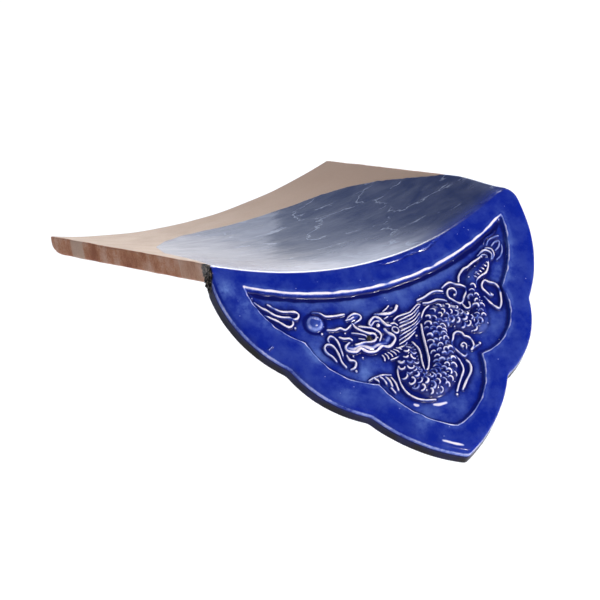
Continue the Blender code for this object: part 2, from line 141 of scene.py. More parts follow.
def smooth_path(points: Line, spacing: float) -> Array:
    """Run a smooth curve through given points and sample it evenly.

    Args:
        points: Points that the curve passes through.
        spacing: Distance between the samples.

    Returns:
        The samples, one a row.
    """
    given = np.array(points, float)
    if len(given) < 3:
        return resampled(given, spacing)
    line = np.vstack((2 * given[0] - given[1], given, 2 * given[-1] - given[-2]))
    t = np.linspace(0.0, 1.0, 13)[:-1, None]
    spans = []
    for before, start, end, after in zip(line, line[1:], line[2:], line[3:]):
        bend = (2 * before - 5 * start + 4 * end - after) * t ** 2
        twist = (3 * start - before - 3 * end + after) * t ** 3
        spans.append((2 * start + (end - before) * t + bend + twist) / 2)
    return resampled(np.vstack(spans + [given[-1:]]), spacing)


def arc_points(start: Array, end: Array, belly: float, count: int = 24) -> Array:
    """Points from start to end on an arc that bellies to the right of its chord.

    Args:
        start: First point.
        end: Last point.
        belly: Height of the arc as a share of its chord.
        count: Number of steps.

    Returns:
        The points, one a row, with both ends.
    """
    chord = end - start
    length = float(np.hypot(*chord))
    rise = belly * length
    side = np.array([chord[1], -chord[0]]) / length
    radius = (length ** 2 / 4 + rise ** 2) / (2 * rise)
    centre = (start + end) / 2 + side * (rise - radius)
    half = math.asin(length / (2 * radius))
    angles = np.linspace(-half, half, count + 1)[:, None]
    return centre + radius * (side * np.cos(angles) + chord / length * np.sin(angles))


def ring(centre: Point, radius: float, steps: int) -> list[Point]:
    """Points of a ring that runs a little past its own start."""
    turns = [math.radians(365 * (step / steps)) for step in range(steps + 1)]
    return [(centre[0] + radius * math.cos(turn), centre[1] - radius * math.sin(turn)) for turn in turns]


def blend_points(first: Point, last: Point, share: float) -> Point:
    """The point at a share of the way from one point to another."""
    return (first[0] + (last[0] - first[0]) * share, first[1] + (last[1] - first[1]) * share)


def bowed(start: Point, end: Point, bow: float) -> list[Point]:
    """Three points of a stroke that bows sideways by a share of its length."""
    middle = blend_points(start, end, 0.5)
    run = (end[0] - start[0], end[1] - start[1])
    return [start, (middle[0] + run[1] * bow, middle[1] - run[0] * bow), end]


def inside_polygon(polygon: Array, across: Array, down: Array) -> Array:
    """Tell which points lie inside a closed polygon.

    Args:
        polygon: Corners, one a row.
        across: First coordinate of the points.
        down: Second coordinate of the points.

    Returns:
        True where the point is inside.
    """
    inside = np.zeros(np.broadcast(across, down).shape, bool)
    for (u0, v0), (u1, v1) in zip(polygon, np.roll(polygon, -1, axis=0)):
        if v0 == v1:
            continue
        spans = (v0 > down) != (v1 > down)
        inside ^= spans & (across < u0 + (u1 - u0) * (down - v0) / (v1 - v0))
    return inside


def line_distance(line: Array, across: Array, down: Array) -> Array:
    """Shortest distance from points to a polyline.

    Args:
        line: Corners of the polyline, one a row.
        across: First coordinate of the points.
        down: Second coordinate of the points.

    Returns:
        The distances.
    """
    best = np.full(np.broadcast(across, down).shape, np.inf)
    for start, end in zip(line, line[1:]):
        run = end - start
        share = ((across - start[0]) * run[0] + (down - start[1]) * run[1]) / (run @ run)
        share = np.clip(share, 0.0, 1.0)
        gap = np.hypot(across - start[0] - share * run[0], down - start[1] - share * run[1])
        best = np.minimum(best, gap)
    return best


def ripple(points: Array, wavelength: float, seed: int) -> Array:
    """A smooth uneven swell over space, as clay pressed and dried by hand has.

    Args:
        points: Places in millimetres, one a row.
        wavelength: Typical length of a swell.
        seed: Picks the pattern.

    Returns:
        The swell at each place, mostly between -1 and 1.
    """
    waves = 7
    draws = random.Random(seed)
    total = np.zeros(len(points))
    for _ in range(waves):
        heading = np.array([draws.gauss(0, 1) for _ in range(3)])
        heading /= np.linalg.norm(heading)
        pace = 2 * math.pi / (wavelength * draws.uniform(0.7, 1.6))
        total += np.sin(points @ heading * pace + draws.uniform(0, 2 * math.pi))
    return total / math.sqrt(waves / 2) / 2


@dataclass(frozen=True)
class PanForm:
    """The curved pan, measured from the chord of its front edge, in millimetres."""

    length: float = 300.0
    front_width: float = 220.0
    taper: float = 6.5
    front_depth: float = 23.8
    back_depth: float = 17.0
    thickness: float = 13.0

    @property
    def chord_height(self) -> float:
        """Height of the front chord over the underside at mid length."""
        return (self.front_depth + self.back_depth) / 2 + self.thickness

    def half_width(self, along: Array) -> Array:
        """Half of the width at a distance behind the front chord."""
        return (self.front_width + self.taper * along / self.length) / 2

    def top(self, across: Array, along: Array) -> Array:
        """Height of the top face, with its side edges at zero.

        Args:
            across: Distance from the centre line.
            along: Distance behind the front chord.

        Returns:
            The height.
        """
        width = 2 * self.half_width(along)
        depth = self.front_depth + (self.back_depth - self.front_depth) * along / self.length
        radius = (width ** 2 / 4 + depth ** 2) / (2 * depth)
        return radius - depth - np.sqrt(radius ** 2 - across ** 2)

    def to_scene(self, across: Array, along: Array, height: Array) -> Array:
        """Places in the scene's own frame, still in millimetres, one a row."""
        return np.column_stack((across, along - self.length / 2, height + self.chord_height))


@dataclass(frozen=True)
class PlateForm:
    """The pendant plate, measured across and down its own slope from the front chord."""

    pan: PanForm
    lean: float = math.radians(33.5)
    drop: float = 174.0
    thickness: float = 15.0
    draft: float = 1.5
    rim_side: float = 15.5
    rim_head: float = 18.5
    rim_corner: float = 13.8
    rim_foot: float = 20.0
    notches: tuple[Point, ...] = ((0.79, 0.48), (0.450, 0.745))
    bellies_left: tuple[float, ...] = (0.126, 0.095, 0.075)
    bellies_right: tuple[float, ...] = (0.116, 0.128, 0.080)
    field_notches: tuple[Point, ...] = ((0.76, 0.458), (0.397, 0.727))
    field_bellies_left: tuple[float, ...] = (0.122, 0.149, 0.101)
    field_bellies_right: tuple[float, ...] = (0.094, 0.223, 0.160)

    def to_scene(self, across: Array, down: Array, proud: Array) -> Array:
        """Place points of the plate in the scene.

        Args:
            across: Distance right of the centre line.
            down: Distance down the slope of the face.
            proud: Height over the face.

        Returns:
            Places in millimetres, one a row.
        """
        along = -down * math.sin(self.lean) - proud * math.cos(self.lean)
        height = -down * math.cos(self.lean) + proud * math.sin(self.lean)
        return self.pan.to_scene(across, along, height)

    def lip_along(self, across: Array) -> Array:
        """Where the pan's top face meets the plane of the plate's face, behind the chord."""
        along = np.zeros_like(across)
        for _ in range(8):
            along = self.pan.top(across, along) * math.tan(self.lean)
        return along

    def lip_down(self, across: Array) -> Array:
        """Distance of that lip down the plate's slope."""
        return -self.pan.top(across, self.lip_along(across)) / math.cos(self.lean)

    def joint_along(self, across: Array) -> Array:
        """Where the pan's underside meets the plate's back, behind the chord."""
        along = np.zeros_like(across)
        for _ in range(8):
            height = self.pan.top(across, along) - self.pan.thickness
            along = (self.thickness + height * math.sin(self.lean)) / math.cos(self.lean)
        return along

    def lobed_side(self, side: int, corner: Point, notches: Line, tip: float,
                   bellies: Sequence[float]) -> Array:
        """One side of a lobed outline, from its corner down to its tip.

        Args:
            side: 1 for the right side and -1 for the left.
            corner: Upper corner on the right side.
            notches: Notches between lobes, as shares of the corner's width and of the tip's drop.
            tip: Drop of the tip.
            bellies: Height of each lobe as a share of its chord.

        Returns:
            Points of that side, one a row.
        """
        stations = [np.array(corner)]
        stations += [np.array((corner[0] * across, tip * down)) for across, down in notches]
        stations.append(np.array((0.0, tip)))
        lobes = [arc_points(a, b, belly) for a, b, belly in zip(stations, stations[1:], bellies)]
        line = np.vstack([lobes[0]] + [lobe[1:] for lobe in lobes[1:]])
        return line * (side, 1.0)

    def outline(self) -> Array:
        """Outer edge of the plate, from its right corner round its tip to its left corner."""
        corner = (self.pan.front_width / 2, 0.0)
        right = self.lobed_side(1, corner, self.notches, self.drop, self.bellies_right)
        left = self.lobed_side(-1, corner, self.notches, self.drop, self.bellies_left)
        return np.vstack((right, left[::-1][1:]))

    def field_corner(self) -> Point:
        """Upper right corner of the sunk field."""
        across = self.pan.front_width / 2 - self.rim_side
        lip = -float(self.pan.top(np.array(across), np.array(0.0))) / math.cos(self.lean)
        return (across, lip + self.rim_corner)

    def field_outline(self) -> Array:
        """Closed outline of the sunk field."""
        corner = self.field_corner()
        tip = self.drop - self.rim_foot
        right = self.lobed_side(1, corner, self.field_notches, tip, self.field_bellies_right)
        left = self.lobed_side(-1, corner, self.field_notches, tip, self.field_bellies_left)
        head_drop = self.pan.front_depth / math.cos(self.lean) + self.rim_head
        belly = (head_drop - corner[1]) / (2 * corner[0])
        head = arc_points(np.array((-corner[0], corner[1])), np.array(corner), -belly, 40)
        return np.vstack((head[:-1], right, left[::-1][1:-1]))


@dataclass(frozen=True)
class Stroke:
    """One raised line of the relief, through points in millimetres on the plate."""

    points: Line
    width: float = 2.2
    rise: float = 1.7
    ends: Point = (0.45, 0.45)


def strokes(*lines: Line) -> Iterator[Stroke]:
    """Strokes of the usual width and rise, one through each line of points."""
    return (Stroke(line) for line in lines)


class Skin(Enum):
    """Which finish a face of the tile takes; the value is its place in the mesh's list."""

    GLAZE_AND_CLAY = 0
    # The plate's burnt edge, also painted darker as shade.
    BURNT_EDGE = 1


class ReliefMap:
    """Heights of the plate's face on a fine raster."""

    step: float = 0.25
    margin: float = 6.0

    def __init__(self, half_width: float, drop: float) -> None:
        """Lay out an empty raster that covers the plate with a margin."""
        reach = half_width + self.margin
        self.across = np.arange(-reach, reach, self.step)
        self.down = np.arange(-self.margin, drop + self.margin, self.step)
        self.grid_across, self.grid_down = np.meshgrid(self.across, self.down)

    def layer(self, fill: float = 0.0) -> Array:
        """A new layer of the raster."""
        return np.full(self.grid_across.shape, fill)

    def stamp(self, layer: Array, place: Sequence[float], reach: float,
              rule: Callable[[Array], Array]) -> None:
        """Raise a layer around one place to what a rule of the distance gives.

        Args:
            layer: The layer, changed in place.
            place: Centre of the stamp.
            reach: Radius that the stamp touches.
            rule: Gives a height for each distance.
        """
        left = max(0, int((place[0] - reach - self.across[0]) / self.step))
        top = max(0, int((place[1] - reach - self.down[0]) / self.step))
        size = int(2 * reach / self.step) + 3
        window = (slice(top, top + size), slice(left, left + size))
        gap = np.hypot(self.grid_across[window] - place[0], self.grid_down[window] - place[1])
        np.maximum(layer[window], rule(gap), out=layer[window])

    def draw(self, layer: Array, stroke: Stroke, base: Array | None = None) -> None:
        """Draw a stroke with a round back that thins towards its ends.

        Args:
            layer: The layer, changed in place.
            stroke: The stroke to draw.
            base: A layer that the stroke lies on, if it isn't the floor.
        """
        path = smooth_path(stroke.points, self.step * 1.2)
        shaky = ripple(np.column_stack((path, np.zeros(len(path)))), 5.0, 3)
        for index, place in enumerate(path):
            share = index / (len(path) - 1)
            swell = math.sin(math.pi * share) ** 0.35
            size = swell + (1 - swell) * (stroke.ends[0] if share < 0.5 else stroke.ends[1])
            size *= 1 + 0.16 * shaky[index]
            radius = stroke.width / 2 * (0.55 + 0.45 * size)
            ground = 0.0 if base is None else float(self.read(base, *place))
            self.dome(layer, place, radius, stroke.rise * size, ground)

    def dome(self, layer: Array, place: Sequence[float], radius: float, rise: float,
             ground: float = 0.0) -> None:
        """Raise a round back around one place.

        Args:
            layer: The layer, changed in place.
            place: Middle of the round back.
            radius: Its radius.
            rise: Its height over the ground.
            ground: Height that it stands on.
        """
        def back(gap: Array) -> Array:
            """Height at a distance from the middle."""
            height = rise * np.clip(1 - (gap / radius) ** 2, 0, 1) ** 0.85
            return np.where(gap < radius, ground + height, 0.0)

        self.stamp(layer, place, radius, back)

    def near(self, line: Array, reach: float) -> Array:
        """Distance to a line, no larger than reach, over the raster."""
        closeness = self.layer(-reach)
        for place in resampled(line, self.step):
            self.stamp(closeness, place, reach, np.negative)
        return -closeness

    def blurred(self, layer: Array, spread: float) -> Array:
        """A layer smoothed by a bell curve with the given spread in millimetres."""
        sigma = spread / self.step
        reach = math.ceil(2.6 * sigma)
        weights = np.exp(-0.5 * (np.arange(-reach, reach + 1) / sigma) ** 2)
        weights /= weights.sum()
        for axis in (0, 1):
            padding = [(reach, reach) if axis == other else (0, 0) for other in (0, 1)]
            padded = np.pad(layer, padding, mode="edge")
            length = layer.shape[axis]
            layer = sum(
                weight * (padded[k:k + length] if axis == 0 else padded[:, k:k + length])
                for k, weight in enumerate(weights)
            )
        return layer

    def read(self, layer: Array, across: Array, down: Array) -> Array:
        """A layer's value between the raster's points."""
        column = np.clip((across - self.across[0]) / self.step, 0, len(self.across) - 1.001)
        row = np.clip((down - self.down[0]) / self.step, 0, len(self.down) - 1.001)
        left = np.floor(column).astype(int)
        top = np.floor(row).astype(int)
        right_share = column - left
        low_share = row - top
        upper = layer[top, left] * (1 - right_share) + layer[top, left + 1] * right_share
        lower = layer[top + 1, left] * (1 - right_share) + layer[top + 1, left + 1] * right_share
        return upper * (1 - low_share) + lower * low_share


@dataclass
class DragonRelief:
    """The carving in the sunk field: dragon, pearl, flames and clouds."""

    body_width: float = 17.5
    waist_width: float = 10.5
    tail_width: float = 6.0
    width_shares: tuple[float, ...] = (0.0, 0.06, 0.55, 0.75, 1.0)
    body_rise: float = 3.3
    scale_pitch: float = 3.7
    scale_radius: float = 2.2
    mouth_corner: Point = (-28.9, 79.0)
    pearl_place: Point = (-59.5, 58.8)
    pearl_radius: float = 5.8
    pearl_rise: float = 2.9
    fine: float = 1.7
    bold: float = 2.8
    seed: int = 7
    body_path: list[Point] = field(default_factory=lambda: [
        (-8, 95.5), (-11.5, 102), (-12.5, 111), (-3, 121.5), (9, 116), (13, 103), (14, 90), (20, 79.5),
        (30, 78.5), (38, 86), (46, 90), (50.5, 80), (51, 68), (58, 56.5), (71, 49)])

    def flames(self) -> Iterator[Stroke]:
        """Flame tongues in the left corner and below the pearl."""
        yield from strokes(
            [(-84, 37), (-81, 41), (-77, 44.5), (-71, 46.5), (-68, 48), (-67.3, 50), (-69, 52),
             (-71.5, 52), (-74, 50), (-79, 48), (-83, 45), (-86, 41), (-89, 38), (-92, 33)],
            [(-74.5, 50.5), (-73, 52.5), (-73.5, 55), (-76, 56.3), (-78.5, 55), (-82, 50.5), (-86, 46.5),
             (-89, 43.5)],
            [(-51, 85.5), (-50.5, 80), (-50.5, 75), (-52, 71.5), (-54, 70.5), (-56, 72), (-56, 74.5)],
            [(-56.5, 88), (-58, 84), (-60.5, 80), (-60.5, 77), (-58.5, 75.3), (-56, 76), (-54, 79),
             (-53.5, 84), (-53.5, 90), (-52, 93.5)],
            [(-48.5, 86), (-48, 89.5), (-45.5, 91), (-45, 93), (-47, 95.5), (-50, 96)])

    def pearl(self) -> Iterator[Stroke]:
        """The trail from the pearl to the dragon's nose."""
        yield Stroke([(-58, 51.2), (-54, 53), (-51, 56), (-46, 57.5), (-38, 58.3)])

    def head(self) -> Iterator[Stroke]:
        """The head in profile, with its jaws open."""
        yield Stroke([
            (-38.5, 63), (-36, 61), (-32, 60), (-29, 61.5), (-28.5, 63.5), (-30, 65), (-33, 66),
            (-35, 66.5)])
        yield Stroke([(-39, 62.5), (-36, 62.8), (-33, 62)], self.fine, 1.5)
        yield Stroke([(-53.5, 65.5), (-49, 67), (-45, 67), (-42, 69), (-38, 67.5), (-36, 66)])
        yield Stroke([
            (-36, 66), (-35, 70), (-32, 73.5), (-28, 76), (-25.5, 77), (-24.5, 79), (-26, 81.5),
            (-29, 82), (-34, 81), (-40, 81)], 2.4, 2.3)
        yield Stroke([(-33, 69.5), (-27, 72.5), (-22.5, 76), (-21, 79.5), (-23.5, 83)], 2.2, 2.4)
        yield Stroke([(-39, 72), (-35, 74), (-31, 76.5), (-30, 79.5)], self.fine, 1.6)
        yield Stroke([(-36, 77), (-34, 78.3), (-32, 79)], self.fine, 1.4)
        yield Stroke([(-48, 72.5), (-45.5, 74.5), (-42, 75.5), (-40.5, 77)])
        yield Stroke([
            (-43, 78), (-47, 80.5), (-46.5, 83.5), (-42, 85.5), (-38, 84.6), (-34, 88), (-29, 89),
            (-24, 87), (-20, 88.5), (-17, 88), (-13.5, 85), (-13.5, 82.5), (-16, 79),
            (-17, 76)], self.bold, 2.3)
        yield Stroke([
            (-25, 73), (-25.5, 70), (-23, 67.5), (-20, 66.5), (-17.5, 68.5), (-16, 72), (-15, 74.5),
            (-12, 75.5)], 2.6, 2.6)
        yield Stroke([
            (-19, 64.5), (-15, 65.5), (-10, 66.8), (-5, 65.8), (-2, 63)], self.bold, 2.2, (0.4, 0.9))
        yield Stroke([(-14, 69), (-12, 68.6), (-10, 67.8)], self.fine, 1.8)
        yield Stroke([(-13, 64.3), (-10, 63), (-7, 61)], self.fine, 1.7)
        yield Stroke([(-12, 74), (-9, 74), (-7, 76)], self.fine, 2.0)
        yield Stroke([(-24.5, 71.5), (-21.5, 69.5), (-18.5, 70)], 2.0, 1.6, (0.8, 0.8))
        yield Stroke(ring((-10.5, 79), 2.3, 14), 1.5, 2.2, (1.0, 1.0))

    def mounds(self) -> Iterator[Stroke]:
        """Soft masses under the head's lines: snout, brow, cheek, jaw and nape."""
        yield Stroke([(-37, 69), (-31, 72), (-24, 74), (-18, 76)], 8.0, 0.9, (0.5, 0.9))
        yield Stroke([(-22, 70), (-17, 73), (-13, 78), (-15, 83)], 9.0, 1.2, (0.7, 0.7))
        yield Stroke([(-44, 82), (-36, 84), (-28, 85.6), (-21, 84)], 6.0, 1.1, (0.6, 0.9))
        yield Stroke([(-35, 63.2), (-31, 62.8)], 5.5, 1.2, (0.8, 0.8))
        yield Stroke([(-14, 66), (-6, 64)], 4.0, 1.0, (0.5, 0.5))

    def pale_glaze_and_glints(self) -> Iterator[Stroke]:
        """Pale places: thin glaze on the pearl's edge, nose, brow, cheek, jaw and spines, and painted
        glints.
        """
        yield Stroke(ring(self.pearl_place, 4.5, 20), 2.9, 0.6, (1.0, 1.0))
        yield Stroke([(-35.5, 63.6), (-33, 62), (-30, 62.2)], 4.4, 0.8, (0.8, 0.8))
        yield Stroke([(-25.2, 72), (-22, 68.5), (-18.5, 69.5), (-16.5, 73)], 2.6, 0.9, (0.8, 0.8))
        yield Stroke([(-19, 76), (-15.6, 78), (-15.2, 81), (-18.5, 84.5)], 4.2, 0.75, (0.4, 0.8))
        yield Stroke([
            (-45.5, 81.4), (-42, 83.4), (-36, 82.8), (-31, 86), (-25, 85.2),
            (-19, 86)], 4.0, 1.0, (0.8, 0.6))
        yield Stroke([(-33, 107), (-30.5, 110), (-29.5, 114), (-27.5, 119)], 3.4, 0.6, (0.5, 0.5))
        # Painted highlights: pale glints on the rim near the tip and below the body's lower loop.
        yield Stroke([(-14, 160.5), (-8, 164.5), (-2, 168)], 1.7, 1.6, (0.4, 0.4))
        yield Stroke([(-8, 134.6), (-4, 135.8), (1, 136)], 2.2, 1.7, (0.4, 0.6))
        yield Stroke([(-20, 130.8), (-18.8, 131.8), (-17.4, 132.4)], 2.2, 1.7, (0.5, 0.5))

    def mane(self) -> Iterator[Stroke]:
        """Locks that fan out behind the head, and the beard below the jaw."""
        locks = (
            [(-8, 71.5), (-5, 70.3), (-1, 70), (4, 70), (8, 68), (12, 66), (14, 66.5)],
            [(-5, 73), (0, 72.3), (5, 71.5), (10, 69), (13.3, 67)],
            [(-5, 75), (1, 74.6), (6, 73.2), (11.4, 69.6)],
            [(-7, 77.5), (-1, 76.9), (5, 75.8), (11, 72)],
            [(-7, 80.3), (-1, 79.6), (5, 78), (10.2, 74.2)],
            [(-9, 83.5), (-5, 82.4), (1, 81), (6, 78.7), (9.4, 76.6)],
            [(-10.5, 86.2), (-5, 84.8), (0, 83.3), (5, 80.6)],
            [(-11.5, 88.9), (-7, 87.8), (-3, 86.2), (2.6, 83.2)],
            [(-14, 91.3), (-9, 91), (-6, 88.9)],
        )
        for lock in locks:
            yield Stroke(lock, self.fine, 1.9, (0.5, 0.35))
        hairs = 6
        for index in range(hairs):
            share = index / (hairs - 1)
            root = blend_points((-26, 92.6), (-15, 90.6), share)
            end = blend_points((-25.8, 96.8), (-11, 94.8), share)
            yield Stroke(bowed(root, end, 0.10), 1.5, 1.7, (0.6, 0.5))
        yield Stroke([(-22, 97.4), (-17, 97.2), (-12, 95.6), (-10, 93)], self.fine, 1.6)

    def flank_lines(self) -> Iterator[Stroke]:
        """Edge lines of the body, the strands beside it and the fin at its foot."""
        yield Stroke([(-3, 90), (-1.5, 98), (-3.5, 106), (-4, 113)], 2.2, 3.3)
        yield Stroke([(8, 80), (5.5, 88), (3.5, 98), (1.5, 106), (-1, 110.5), (-3.5, 112)], 2.4, 3.4)
        yield Stroke([(10, 76), (14, 71.5), (19, 69)], 2.0, 2.0)
        yield Stroke([
            (-11, 100), (-17, 101.5), (-21, 106), (-22.8, 114), (-22, 121), (-18, 127), (-12, 130.5),
            (-5, 132)], 2.0, 2.0, (1.0, 0.4))
        yield Stroke([(20.5, 107), (22, 112), (21.5, 118), (18, 122.5), (14, 127), (11, 131)])
        yield Stroke([(26.5, 112.5), (27.5, 116), (25.5, 121), (20, 126), (15, 131)], 2.4, 2.0)
        yield Stroke([(25, 85), (29, 83), (33, 84.5)], 1.8, 1.6)
        yield Stroke([(-42, 106.8), (-38, 106), (-32, 106), (-26, 107.5)], 1.6, 1.3)
        spines = (
            [(-38, 106.5), (-36.6, 108.4), (-36, 110)],
            [(-34, 106.5), (-32.4, 109.5), (-31.8, 112.5)],
            [(-30.5, 107.5), (-29, 111), (-28.8, 115)],
            [(-27, 109), (-26, 114), (-26, 119)],
            [(-30, 116), (-29.4, 118), (-28.6, 120)],
        )
        for spine in spines:
            yield Stroke(spine, 2.0, 1.8, (0.6, 0.5))

    def clouds(self) -> Iterator[Stroke]:
        """Scrolled clouds above the body, beside the tail and in the body's bend."""
        yield from strokes(
            [(13, 63.2), (18, 62.5), (24, 60.7), (28, 60.5), (32.5, 62)],
            [(16, 66), (20, 67), (26, 66.5), (30, 68), (32, 69.5)],
            [(33, 59.5), (37, 57.8), (40, 57.7), (43, 60), (46, 61.5), (48.3, 64), (47.5, 67), (44.5, 70),
             (42, 73), (39.5, 73.5), (36.5, 70.5), (34.5, 67.5), (34.5, 64.5), (36.5, 62), (39.5, 62),
             (41, 64.5), (40, 66.5), (38.5, 67)])
        yield Stroke([(41, 74), (42, 78), (45, 78), (46, 74)], 2.0, 2.4)
        yield from strokes(
            [(57.8, 73.5), (60, 79.5), (63.6, 84.5), (67, 81), (69.3, 75), (69.8, 70), (68.5, 67),
             (65.5, 65), (63, 62.8), (60, 65), (59.2, 68), (60.5, 71), (62, 74), (64, 74.2), (63, 72.2)],
            [(40, 104.5), (36, 105.5), (33, 106.5), (35.5, 104.5), (36, 101), (35, 98), (32.5, 96),
             (31.5, 93.5), (29, 92), (26, 93), (24, 96), (21.8, 98.5), (22, 102), (24, 106),
             (26.5, 109.5), (29, 108.5)])
        yield Stroke([(30.3, 104.6), (31, 102.2), (29.6, 100.6), (27.6, 101.6), (28.2, 103.4)], 1.7, 1.6)

    def tail(self) -> Iterator[Stroke]:
        """The ringed end of the tail and its tuft."""
        yield Stroke([
            (45.5, 59), (47.5, 55), (52, 51.5), (56, 50.5), (61, 48.5), (66, 47), (70, 45.3),
            (72.5, 46.5)], 2.2, 2.4)
        yield Stroke([
            (72.5, 46.5), (71, 51), (69, 55), (66, 58), (61, 59.5), (57.5, 61.5), (56, 64.5)], 2.2, 2.4)
        rings = 6
        for index in range(rings):
            share = index / (rings - 1)
            start = blend_points((56.5, 55.5), (69.3, 50.5), share)
            end = blend_points((59, 60), (71, 52.5), share)
            yield Stroke(bowed(start, end, -0.22), 1.5, 2.9)
        yield Stroke([(68, 44), (72, 42.5), (75, 44), (76, 47), (74, 50)])
        yield Stroke([(74, 41), (77.5, 43), (77.5, 47), (75, 50)], 2.0, 1.6)
        yield Stroke([(66, 45), (71, 43), (74, 41.5)], self.fine, 1.3)
        yield Stroke([(74.5, 37), (77, 34.5), (80, 33.6), (83, 32.5), (86, 31)], self.fine, 0.9)
        yield Stroke([(76, 39), (79, 36), (84, 35), (87, 35)], self.fine, 0.9)
        yield Stroke([(79, 40.5), (82.5, 38.5), (85.5, 39), (83.5, 42.5), (80, 44.5)], self.fine, 0.9)
        yield Stroke([(78, 51), (82, 49), (85, 45), (86, 41.5)], self.fine, 0.9)

    def beads_and_glints(self) -> list[tuple[Point, float, float]]:
        """Small round drops of glaze and clay, whose pale crests also stand in for painted highlight dots:
        place, radius and rise over the floor.
        """
        return [
            ((-73, 57.8), 0.9, 1.2), ((-92, 29.8), 0.9, 1.0), ((-58, 67), 1.0, 1.2),
            ((-58.9, 59.1), 1.0, 3.3), ((-20.4, 72.8), 1.9, 3.9), ((-47, 98), 1.0, 1.2),
            ((-43, 71), 0.8, 1.1), ((-39, 90.5), 0.8, 1.1), ((-44.5, 87.5), 0.8, 1.1),
            ((1.5, 86.7), 0.9, 2.6), ((10, 133), 1.0, 1.3), ((17.5, 66.4), 0.8, 1.5),
            ((29, 88), 0.7, 2.2), ((38.8, 66.6), 0.9, 2.0), ((63, 73.6), 0.9, 2.0),
            ((28.4, 102.6), 0.9, 2.0), ((-48.3, 86), 0.9, 1.2), ((92, 24.5), 0.9, 0.9),
            ((40.3, 104), 1.1, 1.9), ((68.2, 46.8), 0.8, 2.6), ((-24, 80.5), 0.9, 2.6),
            ((-31, 71), 0.8, 1.9),
        ]

    def body_width_at(self, share: float) -> float:
        """Width of the serpent body at a share of its length."""
        widths = (self.waist_width, self.body_width, self.body_width, self.waist_width, self.tail_width)
        return float(np.interp(share, self.width_shares, widths))

    def draw_body(self, sheet: ReliefMap, layer: Array) -> None:
        """Raise the serpent body as one flattened tube with soft sides."""
        path = smooth_path(self.body_path, sheet.step * 1.5)
        for index, place in enumerate(path):
            share = index / (len(path) - 1)
            width = self.body_width_at(share)
            rise = self.body_rise * (0.55 + 0.45 * width / self.body_width)
            sheet.dome(layer, place, width / 2, rise)

    def scales(self) -> Iterator[Stroke]:
        """Overlapping scales in staggered rows, each a small raised hoop open towards the head."""
        draws = random.Random(self.seed)
        path = smooth_path(self.body_path, 0.5)
        heading = np.gradient(path, axis=0)
        heading /= np.linalg.norm(heading, axis=1)[:, None]
        last_scaled = 0.86
        row = 0
        position = 0.5
        while position / 0.5 < last_scaled * len(path):
            index = int(position / 0.5)
            share = index / len(path)
            width = self.body_width_at(share)
            ahead = heading[index]
            aside = np.array((-ahead[1], ahead[0]))
            lanes = max(1, round(width / self.scale_pitch) - 1 - row % 2)
            for lane in range(lanes):
                offset = (lane - (lanes - 1) / 2) * width / (lanes + 0.5) + draws.uniform(-0.5, 0.5)
                centre = path[index] + aside * offset + ahead * draws.uniform(-0.6, 0.6)
                size = self.scale_radius * draws.uniform(0.65, 1.05)
                size *= 0.75 + 0.25 * width / self.body_width
                spin = draws.uniform(-0.5, 0.5)
                opening = draws.uniform(1.4, 2.2)
                hoop = []
                for step in range(9):
                    turn = spin + opening * (step / 4 - 1) / 1.25
                    place = centre + size * (ahead * math.cos(turn) + aside * math.sin(turn))
                    hoop.append((float(place[0]), float(place[1])))
                yield Stroke(hoop, 2.0 * draws.uniform(0.7, 1.3), draws.uniform(0.9, 1.6), (0.35, 0.35))
            row += 1
            position += self.scale_pitch

    def belly_ticks(self) -> Iterator[Stroke]:
        """Short ribs inside the line of the throat and along the descending body."""
        ribs = 9
        for index in range(ribs):
            root = blend_points((-4.4, 91.5), (-5.2, 109.5), index / (ribs - 1))
            yield Stroke([root, (root[0] + 2.4, root[1] - 0.6)], 1.2, 1.2, (0.7, 0.9))

    def drops_and_glints(self) -> Iterator[tuple[Array, float, float]]:
        """Tiny drops of glaze scattered over the scales, whose pale crests also stand in for painted
        highlight dots: place, radius and rise over the body.
        """
        draws = random.Random(self.seed + 1)
        path = smooth_path(self.body_path, 0.5)
        for _ in range(60):
            index = draws.randrange(int(len(path) * 0.95))
            reach = 0.42 * self.body_width_at(index / len(path))
            offset = np.array((draws.uniform(-reach, reach), draws.uniform(-reach, reach)))
            yield path[index] + offset, draws.uniform(0.5, 0.8), draws.uniform(0.6, 1.1)

    def draw(self, sheet: ReliefMap) -> tuple[Array, Array]:
        """Draw the whole carving.

        Args:
            sheet: The raster to draw on.

        Returns:
            Heights over the field's floor, with every line and without them.
        """
        mass = sheet.layer()
        self.draw_body(sheet, mass)
        for stroke in self.mounds():
            sheet.draw(mass, stroke)
        mass = sheet.blurred(mass, 0.5)
        sheet.dome(mass, self.pearl_place, self.pearl_radius, self.pearl_rise)
        lines = mass.copy()
        for group in (self.flames, self.pearl, self.mane, self.flank_lines, self.clouds, self.tail):
            for stroke in group():
                sheet.draw(lines, stroke)
        for group in (self.head, self.scales, self.belly_ticks):
            for stroke in group():
                sheet.draw(lines, stroke, mass)
        for place, radius, rise in self.beads_and_glints():
            sheet.dome(lines, place, radius, rise)
        for place, radius, rise in self.drops_and_glints():
            sheet.dome(lines, place, radius, rise, float(sheet.read(mass, *place)))
        return lines, mass


